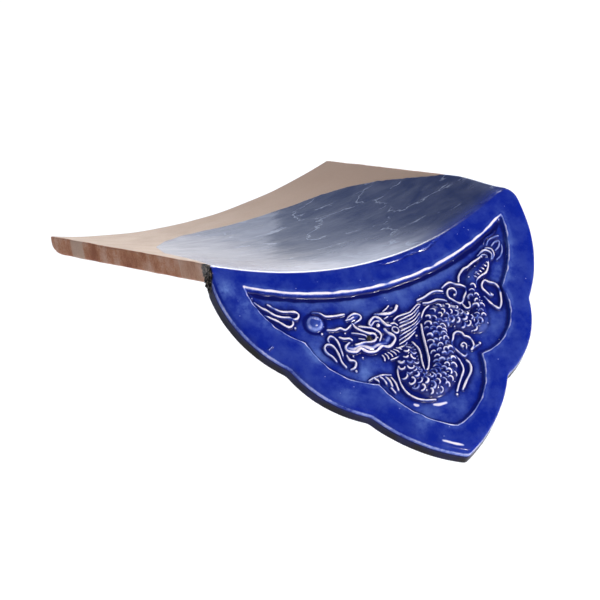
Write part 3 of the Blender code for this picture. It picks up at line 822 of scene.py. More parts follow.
class PlateFace:
    """The plate's modelled face: its heights, how thick the glaze lies, and where the mesh is fine."""

    roll_reach: float = 8.0
    roll_drop: float = 1.2
    field_depth: float = 3.0
    wall_run: float = 1.2
    head_wall_run: float = 0.7
    groove_depth: float = 0.35
    bead_rise: float = 0.25
    soot_reach: float = 3.0
    # Across, down, spread and strength of each place where the glaze turned milky; these pale patches also
    # stand in for painted sky sheen.
    milky_places: tuple[tuple[float, float, float, float], ...] = (
        (-107, 20, 6, 1.0), (-101, 35, 6, 0.6), (-59, 110, 7, 0.4), (-18, 146, 9, 0.3), (-92, 50, 5, 0.3),
        (-67, 79, 7, 0.5), (-43, 101, 7, 0.5), (78, 60, 8, 0.5), (88, 42, 6, 0.3), (-27, 124, 6, 0.3))

    def __init__(self, plate: PlateForm, relief: DragonRelief) -> None:
        """Work out every layer of the face.

        Args:
            plate: The plate that the face belongs to.
            relief: The carving in its field.
        """
        self.plate = plate
        self.sheet = ReliefMap(plate.pan.front_width / 2, plate.drop)
        self.model(relief)
        self.settle_glaze()
        self.level = self.grade()

    def model(self, relief: DragonRelief) -> None:
        """Work out the heights over the face's plane, and the parts that the glaze follows.

        Args:
            relief: The carving in the field.
        """
        sheet = self.sheet
        outline = self.plate.field_outline()
        closed = np.vstack((outline, outline[:1]))
        gap = sheet.near(closed, 14.0)
        inside = inside_polygon(outline, sheet.grid_across, sheet.grid_down)
        straight = sheet.blurred(np.where(inside, gap, -gap), 0.4)
        self.faces_down = np.clip(np.gradient(straight, axis=0) / sheet.step, 0.0, 1.0)
        spots = np.column_stack((sheet.grid_across.ravel(), sheet.grid_down.ravel(), np.zeros(gap.size)))
        self.swell = ripple(spots, 7.0, 5).reshape(gap.shape)
        self.depth_in = straight + 0.3 * self.swell
        wall = self.wall_run + self.head_wall_run * self.faces_down
        floor = -self.field_depth * smooth_step(0.0, 1.0, self.depth_in / wall)
        groove = -self.groove_depth * bell(self.depth_in, 3.0, 1.3) * self.faces_down
        bead = self.bead_rise * bell(self.depth_in, -0.5, 0.7) * (0.35 + 0.65 * self.faces_down)
        from_edge = sheet.near(self.plate.outline(), self.roll_reach)
        low_down = smooth_step(6.0, 26.0, sheet.grid_down)
        roll = -self.roll_drop * (1 - from_edge / self.roll_reach) ** 2 * low_down
        lines, mass = relief.draw(sheet)
        kept = smooth_step(0.0, 1.5, self.depth_in)
        rim = sheet.layer()
        for stroke in self.rim_marks():
            sheet.draw(rim, stroke)
        # Thin glaze and painted glints, both drawn pale.
        self.pale = sheet.layer()
        for stroke in relief.pale_glaze_and_glints():
            sheet.draw(self.pale, stroke)
        self.soot = sheet.layer()
        sheet.stamp(self.soot, relief.mouth_corner, self.soot_reach,
                    lambda gap: np.clip(1.5 - gap / 1.9, 0.0, 1.0))
        across, down = relief.pearl_place
        self.from_pearl = np.hypot(sheet.grid_across - across, sheet.grid_down - down)
        self.mass = mass * kept
        self.drawn = (lines - mass) * kept + rim
        self.height = sheet.blurred(floor + groove + bead + roll + lines * kept + rim, 0.2)

    @staticmethod
    def rim_marks() -> Iterator[Stroke]:
        """The ragged roll of glaze under the lip, a nick on the left rim and a faint run of glaze."""
        yield Stroke([
            (-6, 31.6), (4, 32.6), (12, 32.5), (20, 31), (30, 30.5), (35, 30), (40, 27.6), (45, 25.5),
            (52, 22.6), (60, 19), (70, 14.5), (80, 9.5)], 1.8, 0.45)
        yield Stroke([(-98, 68.5), (-96, 67.8), (-93, 66.5)], 1.1, 0.7, (0.8, 0.3))
        yield Stroke([(-9, 28.5), (-8.4, 33), (-9.4, 37), (-9, 41)], 0.9, 0.16, (0.4, 0.4))

    def settle_glaze(self) -> None:
        """Work out where glaze ran off crests (to -1), pooled in hollows (to 1) or turned milky, with
        painted shade and sky sheen.
        """
        sheet = self.sheet
        drawn = sheet.blurred(self.drawn, 0.2)
        near = sheet.blurred(drawn, 0.55) - drawn
        crowd = np.maximum(sheet.blurred(drawn, 2.2) - 0.4 * drawn, 0.0)
        crowd *= 1 - np.clip(-near / 0.22, 0.0, 1.0)
        flank = np.maximum(sheet.blurred(self.mass, 2.0) - self.mass, 0.0)
        depth, down = self.depth_in, self.faces_down
        crest = bell(depth, -0.2, 0.5 + 0.2 * down)
        crest *= (0.5 + 0.5 * down) * np.clip(1.05 + 0.45 * self.swell, 0.0, 1.2)
        # A darker band just inside the field's edge, deepest and widest under its head edge.
        head_band = smooth_step(1.0, 2.0, depth) * (1 - smooth_step(4.0, 6.0, depth))
        side_band = smooth_step(0.8, 1.4, depth) * (1 - smooth_step(1.8, 3.6, depth))
        foot = 0.95 * head_band * down + 0.5 * side_band * (1 - down)
        broad = np.minimum(sheet.blurred(drawn, 1.8) - drawn + 0.35, 0.0)
        bared = near * np.clip(1.0 + 0.4 * self.swell, 0.55, 1.5)
        settled = bared / np.where(near < 0, 0.46, 0.30) + 0.4 * broad + 1.2 * crowd + 0.7 * flank
        # Painted shadow: a dark ring around the pearl.
        settled = settled + 0.6 * bell(self.from_pearl, 7.2, 1.0)
        pale = sheet.blurred(self.pale, 0.35)
        settled = (settled + foot - 1.1 * crest) * (1 - np.clip(pale, 0.0, 1.0)) - 0.76 * pale
        self.pool = np.clip(settled, -1.0, 1.0)
        # Milky haze, partly painted sky sheen: pale patches on the flats, a pale band under the head edge
        # and along the rim's inner edge.
        calm = 1 - np.clip(2.2 * crowd + flank, 0.0, 1.0)
        under_head = 0.22 * bell(depth, 7.0, 2.2) * down
        clouded = 0.14 * smooth_step(2.5, 6.0, depth) + 0.20 * bell(depth, -1.9, 1.2)
        for across, along, spread, strength in self.milky_places:
            gap = np.hypot(sheet.grid_across - across, sheet.grid_down - along)
            clouded = clouded + strength * bell(gap, 0.0, spread)
        self.haze = np.clip((under_head + clouded) * calm, 0.0, 1.0)

    def grade(self) -> Array:
        """How fine the mesh must be: 0 is coarse, 1 is middling and 2 is fine."""
        detail = (np.abs(self.height - self.sheet.blurred(self.height, 0.6)) > 0.035) | (self.pale > 0.1)
        spread = self.sheet.blurred(detail.astype(float), 0.6)
        wide = self.sheet.blurred(detail.astype(float), 1.6)
        return (spread > 0.10).astype(int) + (wide > 0.03).astype(int)


@dataclass
class MeshStock:
    """Points and faces gathered for one mesh, with one value of each glaze layer a point."""

    layers: tuple[str, ...] = ("cover", "pool", "haze", "film", "burn", "crust", "slip")
    places: list[Array] = field(default_factory=list)
    faces: list[tuple[int, ...]] = field(default_factory=list)
    skins: list[int] = field(default_factory=list)
    values: dict[str, list[Array]] = field(default_factory=dict)
    count: int = 0

    def add(self, places: Array, **values: Array | float) -> Array:
        """Add points.

        Args:
            places: The points in millimetres, one a row.
            values: A value or an array of values for each layer; a layer left out is zero.

        Returns:
            Indices of the new points.
        """
        for name in self.layers:
            value = np.broadcast_to(np.asarray(values.get(name, 0.0), float), (len(places),))
            self.values.setdefault(name, []).append(value)
        self.places.append(places)
        indices = np.arange(self.count, self.count + len(places))
        self.count += len(places)
        return indices

    def polygon(self, corners: Sequence[int], skin: Skin = Skin.GLAZE_AND_CLAY) -> None:
        """Add one face with its finish."""
        self.faces.append(tuple(int(corner) for corner in corners))
        self.skins.append(skin.value)

    def quads(self, rows: Array, burnt: Array | None = None) -> None:
        """Add the faces between neighbouring rows of point indices.

        Args:
            rows: The indices, one row of points after another.
            burnt: True for each column of faces that is the plate's burnt edge, also painted darker as
                shade.
        """
        for upper, lower in zip(rows, rows[1:]):
            for column, corners in enumerate(zip(upper, upper[1:], lower[1:], lower)):
                is_burnt = burnt is not None and burnt[column]
                self.polygon(corners, Skin.BURNT_EDGE if is_burnt else Skin.GLAZE_AND_CLAY)


@dataclass
class TileShell:
    """The whole tile as one closed skin: a top sheet, a bottom sheet and a rounded rim between them.

    Among its layers, cover tells how far inside the dipped glaze a point lies, in millimetres.
    """

    pan: PanForm
    plate: PlateForm
    face: PlateFace
    stock: MeshStock = field(default_factory=MeshStock)
    edge_radius: float = 1.5
    front_roll: float = 4.5
    side_gaps: tuple[float, ...] = (0.0, 1.2, 2.6, 4.4, 6.8)
    front_gaps: tuple[float, ...] = (0.0, 0.7, 1.4, 2.2, 3.2, 4.8, 6.8)
    back_gaps: Point = (2.8, 1.2)
    column_gap: float = 3.6
    row_gap: float = 2.7
    rim_rows: int = 14
    turn_rows: int = 4
    pale_edge_row: float = 3.4
    pale_edge_rows: float = 0.7
    station_gap: float = 1.2
    front_start: float = 2.6
    face_spacings: tuple[float, ...] = (1.8, 0.85, 0.45)
    back_spacing: float = 4.0
    glaze_overlap: float = 4.0
    far_inside: float = 40.0
    lip_reach: float = 2.4
    joint_reach: float = 9.0
    slump_radius: float = 14.0
    slump_fade: float = 90.0
    dip_line: tuple[Point, ...] = (
        (-109, 2), (-104, 20), (-97, 45), (-91.5, 72), (-90, 95), (-88, 138), (-73.4, 192), (-55, 224),
        (-34.7, 243), (-16, 245), (8.5, 242), (40, 236), (69.3, 223.5), (84.6, 206), (95.2, 179),
        (101, 150.5), (108.8, 104), (114, 92))

    @staticmethod
    def graded(near: Sequence[float], far: float, pitch: float) -> Array:
        """Distances that begin with the given ones and go on evenly to the far end."""
        spans = round((far - near[-1]) / pitch)
        return np.concatenate((near, np.linspace(near[-1], far, spans + 1)[1:]))

    def columns(self) -> Array:
        """Shares across the pan from -1 to 1, closer together at its sides."""
        half = self.pan.front_width / 2 - self.edge_radius
        right = 1 - self.graded(self.side_gaps, half, self.column_gap) / half
        return np.concatenate((-right, right[::-1][1:]))

    def rows(self) -> Array:
        """Shares along the pan from 0 at the front to 1, closer together at both ends."""
        length = self.pan.length - self.edge_radius
        front = self.graded(self.front_gaps, length - self.back_gaps[0], self.row_gap)
        return np.concatenate((front, (length - self.back_gaps[1], length))) / length

    def pan_grid(self, drop: float, front: Callable[[Array], Array], inset: float) -> Array:
        """Points of a sheet that follows the pan's section.

        Args:
            drop: How far the sheet lies under the top face.
            front: Gives the sheet's front end for a place across the pan.
            inset: How far the sheet stays inside the pan's sides and back.

        Returns:
            Across, along and height in an array of rows, columns and three.
        """
        share, place = np.meshgrid(self.rows(), self.columns(), indexing="ij")
        start = front(place * (self.pan.front_width / 2 - inset))
        along = start + (self.pan.length - inset - start) * share
        across = place * (self.pan.half_width(along) - inset)
        return np.stack((across, along, self.pan.top(across, along) - drop), axis=-1)

    def fold_direction(self, across: Array) -> Array:
        """Direction out of the fold where pan and plate meet, between their two normals."""
        step = 0.01
        front = np.zeros_like(across)
        slope = (self.pan.top(across + step, front) - self.pan.top(across - step, front)) / (2 * step)
        upright = np.stack((-slope, front, np.ones_like(slope)), axis=-1)
        upright /= np.linalg.norm(upright, axis=-1, keepdims=True)
        total = upright + (0.0, -math.cos(self.plate.lean), math.sin(self.plate.lean))
        return total / np.linalg.norm(total, axis=-1, keepdims=True)

    def ease(self, places: Array, gap: Array, across: Array, reach: float) -> Array:
        """Round the fold between pan and plate.

        Args:
            places: Points in the scene, in millimetres.
            gap: Distance of each point from the fold along its own sheet.
            across: Place of each point across the tile.
            reach: Distance from the fold at which the rounding starts.

        Returns:
            The moved points.
        """
        bend = math.pi / 2 - self.plate.lean
        depth = math.sin(bend / 2) * np.clip(reach - gap, 0.0, None) ** 2 / (2 * reach)
        return places - depth[:, None] * self.fold_direction(across)

    def dip_depth(self, across: Array, along: Array) -> Array:
        """Distance inside the line to which the pan was dipped in glaze; negative on bare clay."""
        line = np.array(self.dip_line, float)
        far = self.pan.front_width
        polygon = np.vstack((line, [(far, line[-1][1]), (far, -far), (line[0][0], -far)]))
        gap = np.clip(line_distance(line, across, along), 0.0, self.far_inside)
        return np.where(inside_polygon(polygon, across, along), gap, -gap)

    def outline(self) -> Array:
        """The plate's outer edge from its right corner to its left one, softened by hand wear."""
        line = resampled(self.plate.outline(), 0.5)
        half_window = 4
        padded = np.vstack((np.repeat(line[:1], half_window, 0), line, np.repeat(line[-1:], half_window, 0)))
        soft = sum(padded[k:k + len(line)] for k in range(2 * half_window + 1)) / (2 * half_window + 1)
        return np.vstack((line[:1], soft[1:-1], line[-1:]))

    @staticmethod
    def inward(line: Array) -> Array:
        """Unit vectors that point into the plate along its outline."""
        heading = np.gradient(line, axis=0)
        heading /= np.linalg.norm(heading, axis=1)[:, None]
        return np.column_stack((-heading[:, 1], heading[:, 0]))

    def triangulate(self, loop: Array, inner: Array) -> list[tuple[int, ...]]:
        """Triangles of a flat region.

        Args:
            loop: The closed boundary, one point a row.
            inner: Points inside it.

        Returns:
            Triangles of indices into the loop followed by the inner points.
        """
        points = [Vector((float(u), float(v))) for u, v in np.vstack((loop, inner))]
        result = delaunay_2d_cdt(points, [], [list(range(len(loop)))], 1, 1e-7)
        origin = [sources[0] for sources in result[3]]
        return [tuple(origin[corner] for corner in triangle) for triangle in result[2]]

    def lattice(self, spacing: float) -> Array:
        """Points of a triangular lattice over the plate."""
        sheet = self.face.sheet
        rows = np.arange(sheet.down[0], sheet.down[-1], spacing * math.sqrt(3) / 2)
        lines = []
        for index, row in enumerate(rows):
            columns = np.arange(sheet.across[0] + (index % 2) * spacing / 2, sheet.across[-1], spacing)
            lines.append(np.column_stack((columns, np.full(len(columns), row))))
        return np.vstack(lines)

    def face_points(self, loop: Array) -> Array:
        """Points inside the plate's face, dense where it is carved.

        Args:
            loop: The face's boundary.

        Returns:
            The points, one a row.
        """
        sheet = self.face.sheet
        gap = sheet.near(np.vstack((loop, loop[:1])), 3.0)
        clear = np.where(inside_polygon(loop, sheet.grid_across, sheet.grid_down), gap, -gap)
        kept = []
        lip_rows = (0.7, 1.4, 2.2, 3.2)
        lip_zone = 3.9
        for drop in lip_rows:
            across = np.arange(-self.pan.front_width / 2, self.pan.front_width / 2, 1.3) + 0.1
            row = np.column_stack((across, self.plate.lip_down(across) + drop))
            kept.append(row[sheet.read(clear, row[:, 0], row[:, 1]) > 0.5])
        for level, spacing in enumerate(self.face_spacings):
            points = self.lattice(spacing)
            column = ((points[:, 0] - sheet.across[0]) / sheet.step).astype(int)
            line = ((points[:, 1] - sheet.down[0]) / sheet.step).astype(int)
            wanted = self.face.level[line, column] == level
            wanted &= sheet.read(clear, points[:, 0], points[:, 1]) > min(0.5 * spacing, 0.6)
            wanted &= points[:, 1] - self.plate.lip_down(self.within(points[:, 0])) > lip_zone
            kept.append(points[wanted])
        return np.vstack(kept)

    def joint_down(self, across: Array) -> Array:
        """Distance of the joint under the pan down the plate's slope."""
        along = self.plate.joint_along(across)
        height = self.pan.top(across, along) - self.pan.thickness
        return -(along * math.sin(self.plate.lean) + height * math.cos(self.plate.lean))

    def within(self, across: Array) -> Array:
        """Places across the tile, kept inside its front width."""
        return np.clip(across, -self.pan.front_width / 2, self.pan.front_width / 2)

    def place_pan(self, drop: float, fold: Callable[[Array], Array],
                  reach: float) -> tuple[Array, Array, Array]:
        """Work out the points of one face of the pan.

        Args:
            drop: How far it lies under the top face.
            fold: Gives its fold with the plate, for a place across the pan.
            reach: Distance from the fold over which it is rounded.

        Returns:
            Its points from the front chord in rows and columns, the same points in the scene in one
            list, and their distances from the fold.
        """
        grid = self.pan_grid(drop, fold, self.edge_radius)
        flat = grid.reshape(-1, 3)
        gap = flat[:, 1] - fold(flat[:, 0])
        return grid, self.ease(self.pan.to_scene(*flat.T), gap, flat[:, 0], reach), gap

    def place_plate(self, points: Array, proud: Array, fold: Callable[[Array], Array],
                    reach: float) -> tuple[Array, Array]:
        """Work out where points of the plate lie.

        Args:
            points: Places across and down the plate, one a row.
            proud: Their heights over its face.
            fold: Gives the fold with the pan, for a place across the plate.
            reach: Distance from the fold over which it is rounded.

        Returns:
            The points in the scene, and their distances from the fold.
        """
        across = self.within(points[:, 0])
        gap = points[:, 1] - fold(across)
        return self.ease(self.plate.to_scene(*points.T, proud), gap, across, reach), gap

    def weld(self, loop: Array, inner: Array, seam: Array, fresh: Array) -> Array:
        """Fill a sheet of the plate with triangles and weld it to the pan.

        Args:
            loop: The sheet's boundary: the fold, and then the plate's edge.
            inner: Points inside it.
            seam: Indices of the fold's points.
            fresh: Indices of all the others.

        Returns:
            Indices of the points on the plate's edge.
        """
        whole = np.concatenate((seam, fresh))
        for triangle in self.triangulate(loop, inner):
            self.stock.polygon([whole[corner] for corner in triangle])
        return fresh[:len(loop) - len(seam)]

    def build(self) -> MeshStock:
        """Gather the whole skin.

        Returns:
            Its points, faces and glaze layers.
        """
        outer = self.outline()
        count = round(float(travelled(outer)[-1]) / self.station_gap)
        front_edge = spaced(outer, count, self.front_start)
        back_edge = self.grown_outline(outer, count)
        top, top_index = self.add_pan_top()
        under, under_index = self.add_underside()
        face_index = self.add_face(top[0], top_index[0], front_edge)
        back_index = self.add_back(under[0], under_index[0], back_edge)
        self.add_rim((top_index, under_index), (face_index, back_index), (front_edge, back_edge))
        return self.stock

    def add_pan_top(self) -> tuple[Array, Array]:
        """Add the pan's upper face, with its painted sky reflection and its clay skin.

        Returns:
            Its points and their indices, in rows and columns.
        """
        grid, places, gap = self.place_pan(0.0, self.plate.lip_along, self.lip_reach)
        flat = grid.reshape(-1, 3)
        across, along = flat[:, 0], flat[:, 1]
        lengthwise = flat * (0.0, 1.0, 0.0)
        ragged = 7.0 * ripple(lengthwise, 20.0, 41) + 4.0 * ripple(lengthwise, 8.0, 42)
        # Painted sky reflection: a pale grey laid over the left of the pan and near the lip, where the glaze
        # mirrors the bright sky.
        left = 1 - smooth_step(-5.0, 5.0, across + 66.0 - 0.43 * along + ragged)
        reflection_by_lip = bell(gap, 0.0, 58.0) * (1 - smooth_step(0.0, 62.0, across))
        film = np.maximum(0.36 * left, 0.95 * reflection_by_lip)
        slip = 1 - 0.75 * bell(gap, 0.0, 13.0) * smooth_step(20.0, 75.0, across)
        index = self.stock.add(places, cover=self.dip_depth(across, along), slip=slip,
                               pool=self.lip_pool(across, gap), film=film).reshape(grid.shape[:2])
        self.stock.quads(index)
        return grid, index

    def lip_pool(self, across: Array, gap: Array) -> Array:
        """How the glaze thins over the fold of the lip: bare and broken at the left corner, then a faint
        pale line painted along the left half as a highlight.
        """
        broken = bell(across, -106.0, 6.0) * (0.75 + 0.5 * np.sin(across * 2.1))
        # Painted highlight: a faint pale line along the left half of the lip.
        painted_lip_highlight = 0.03 * (1 - smooth_step(-60.0, 10.0, across))
        return -(broken + painted_lip_highlight) * bell(gap, 0.0, 1.0)

    def add_underside(self) -> tuple[Array, Array]:
        """Add the pan's bare underside, with the luted joint to the plate smoothed over.

        Returns:
            Its points and their indices, in rows and columns.
        """
        grid, places, _ = self.place_pan(self.pan.thickness, self.plate.joint_along, self.joint_reach)
        index = self.stock.add(places, cover=-self.far_inside).reshape(grid.shape[:2])
        self.stock.quads(index[:, ::-1])
        return grid, index

    def grown_outline(self, outer: Array, count: int) -> Array:
        """The plate's rear edge, wider than its front by the draft, from joint to joint."""
        reach = self.pan.front_width / 2
        middle = np.array((0.0, (self.plate.drop - 6.0) / 2))
        line = spaced(outer, count, float(self.joint_down(np.array(reach))))
        along = np.arange(count) * self.station_gap
        share = smooth_step(0.0, 14.0, np.minimum(along, along[::-1]))
        growth = 1 + self.plate.draft / reach * share
        return middle + (line - middle) * growth[:, None]

    def add_face(self, lip: Array, seam: Array, edge: Array) -> Array:
        """Add the carved face, welded to the pan along the lip.

        Args:
            lip: Points of the lip, from the front chord.
            seam: Their indices.
            edge: Stations of the plate's front edge.

        Returns:
            Indices of the face's points at those stations.
        """
        lip_line = np.column_stack((lip[:, 0], -lip[:, 2] / math.cos(self.plate.lean)))
        border = edge + self.inward(edge) * self.edge_radius
        loop = np.vstack((lip_line, border))
        inner = self.face_points(loop)
        fresh = np.vstack((border, inner))
        height, pool, haze, soot = (
            self.face.sheet.read(layer, fresh[:, 0], fresh[:, 1])
            for layer in (self.face.height, self.face.pool, self.face.haze, self.face.soot))
        places, gap = self.place_plate(fresh, height, self.plate.lip_down, self.lip_reach)
        pool = pool + self.lip_pool(self.within(fresh[:, 0]), gap)
        index = self.stock.add(places, cover=self.far_inside, pool=pool, haze=haze, crust=soot)
        return self.weld(loop, inner, seam, index)

    def add_back(self, joint: Array, seam: Array, edge: Array) -> Array:
        """Add the plate's plain back, welded to the pan's underside along the joint.

        Args:
            joint: Points of the joint, from the front chord.
            seam: Their indices.
            edge: Stations of the plate's rear edge.

        Returns:
            Indices of the back's points at those stations.
        """
        down = -(joint[:, 1] * math.sin(self.plate.lean) + joint[:, 2] * math.cos(self.plate.lean))
        border = edge + self.inward(edge) * self.edge_radius
        loop = np.vstack((np.column_stack((joint[:, 0], down)), border))
        points = self.lattice(self.back_spacing)
        keep = inside_polygon(loop, *points.T)
        keep &= line_distance(np.vstack((loop, loop[:1])), *points.T) > self.back_spacing / 2
        fresh = np.vstack((border, points[keep]))
        behind = np.full(len(fresh), -self.plate.thickness)
        places, _ = self.place_plate(fresh, behind, self.joint_down, self.joint_reach)
        from_edge = line_distance(edge, fresh[:, 0], fresh[:, 1])
        index = self.stock.add(places, cover=self.glaze_overlap - from_edge, pool=0.2, burn=0.8)
        return self.weld(loop, points[keep], seam, index)

    def add_rim(self, pan_index: Sequence[Array], plate_index: Sequence[Array],
                edges: Sequence[Array]) -> None:
        """Join the two sheets by a strip with rounded edges, all the way round the tile.

        Args:
            pan_index: Indices of the pan's upper face and of its underside.
            plate_index: Indices of the plate's face and of its back, at their edges.
            edges: Stations of the plate's front edge and of its rear edge.
        """
        height, width = pan_index[0].shape
        walk = [(-1, column) for column in range(width)] + [(row, -1) for row in range(height - 2, -1, -1)]
        after = [(row, 0) for row in range(height - 1)]

        def all_round(grid: Array, plate_part: Array) -> Array:
            """A grid's border with the plate's part let in, in one ring."""
            border = [[grid[spot] for spot in part] for part in (walk, after)]
            return np.concatenate((border[0], plate_part, border[1]))

        rolled = self.face.sheet.read(self.face.height, *edges[0].T)
        behind = np.full(len(edges[1]), -self.plate.thickness)
        crisp = (self.pan_grid(0.0, np.zeros_like, 0.0),
                 self.pan_grid(self.pan.thickness, self.plate.joint_along, 0.0))
        high, low = (
            all_round(self.pan.to_scene(*grid.reshape(-1, 3).T).reshape(grid.shape),
                      self.plate.to_scene(*edge.T, proud))
            for grid, edge, proud in zip(crisp, edges, (rolled, behind)))
        first, last = (all_round(grid, part) for grid, part in zip(pan_index, plate_index))
        on_plate = all_round(np.zeros((height, width)), np.ones(len(rolled)))
        self.loft_rim(high, low, first, last, on_plate)

    def loft_rim(self, high: Array, low: Array, first: Array, last: Array, on_plate: Array) -> None:
        """Fill the rim with rows of points.

        Args:
            high: The crisp upper edge that is rounded off.
            low: The crisp lower edge.
            first: Indices of the top sheet's edge.
            last: Indices of the bottom sheet's edge.
            on_plate: 1 where the rim belongs to the plate.
        """
        places = np.vstack(self.stock.places)
        run = low - high
        run /= np.linalg.norm(run, axis=1)[:, None]
        shoulder = high + run * np.where(on_plate > 0, self.front_roll, self.edge_radius)[:, None]
        foot = low - run * self.edge_radius
        top_cover = np.concatenate(self.stock.values["cover"])[first]
        # Pale line along the plate's outer edge: thin glaze over the edge, and also a painted highlight.
        worn = np.clip(0.62 + 0.20 * ripple(high, 22.0, 31), 0.2, 0.9)
        rings = [first]
        for row in range(1, self.rim_rows):
            from_end = self.rim_rows - row
            if row <= self.turn_rows:
                t = row / self.turn_rows
                ring = places[first] * (1 - t) ** 2 + high * 2 * t * (1 - t) + shoulder * t ** 2
            elif from_end <= self.turn_rows:
                t = 1 - from_end / self.turn_rows
                ring = foot * (1 - t) ** 2 + low * 2 * t * (1 - t) + places[last] * t ** 2
            else:
                t = (row - self.turn_rows) / (self.rim_rows - 2 * self.turn_rows)
                ring = shoulder + (foot - shoulder) * t
            fall = row / self.rim_rows
            crest = -worn * float(bell(np.array(row), self.pale_edge_row, self.pale_edge_rows))
            pooled = float(smooth_step(4.0, 6.0, np.array(float(row))))
            # Burnt glaze and painted shade darken the plate's edge strip.
            burn = float(smooth_step(4.0, 6.5, np.array(float(row))))
            side_cover = np.where(top_cover > -2, top_cover - 34.0 * fall, top_cover - 30.0)
            plate_cover = 30.0 if fall < 0.9 else self.glaze_overlap
            rings.append(self.stock.add(ring, cover=np.where(on_plate > 0, plate_cover, side_cover),
                                        pool=on_plate * (crest + 0.6 * pooled), burn=on_plate * burn))
        rings.append(last)
        burnt = (on_plate > 0) & (np.roll(on_plate, -1) > 0)
        self.stock.quads(np.array([np.append(ring, ring[0]) for ring in rings]), burnt)


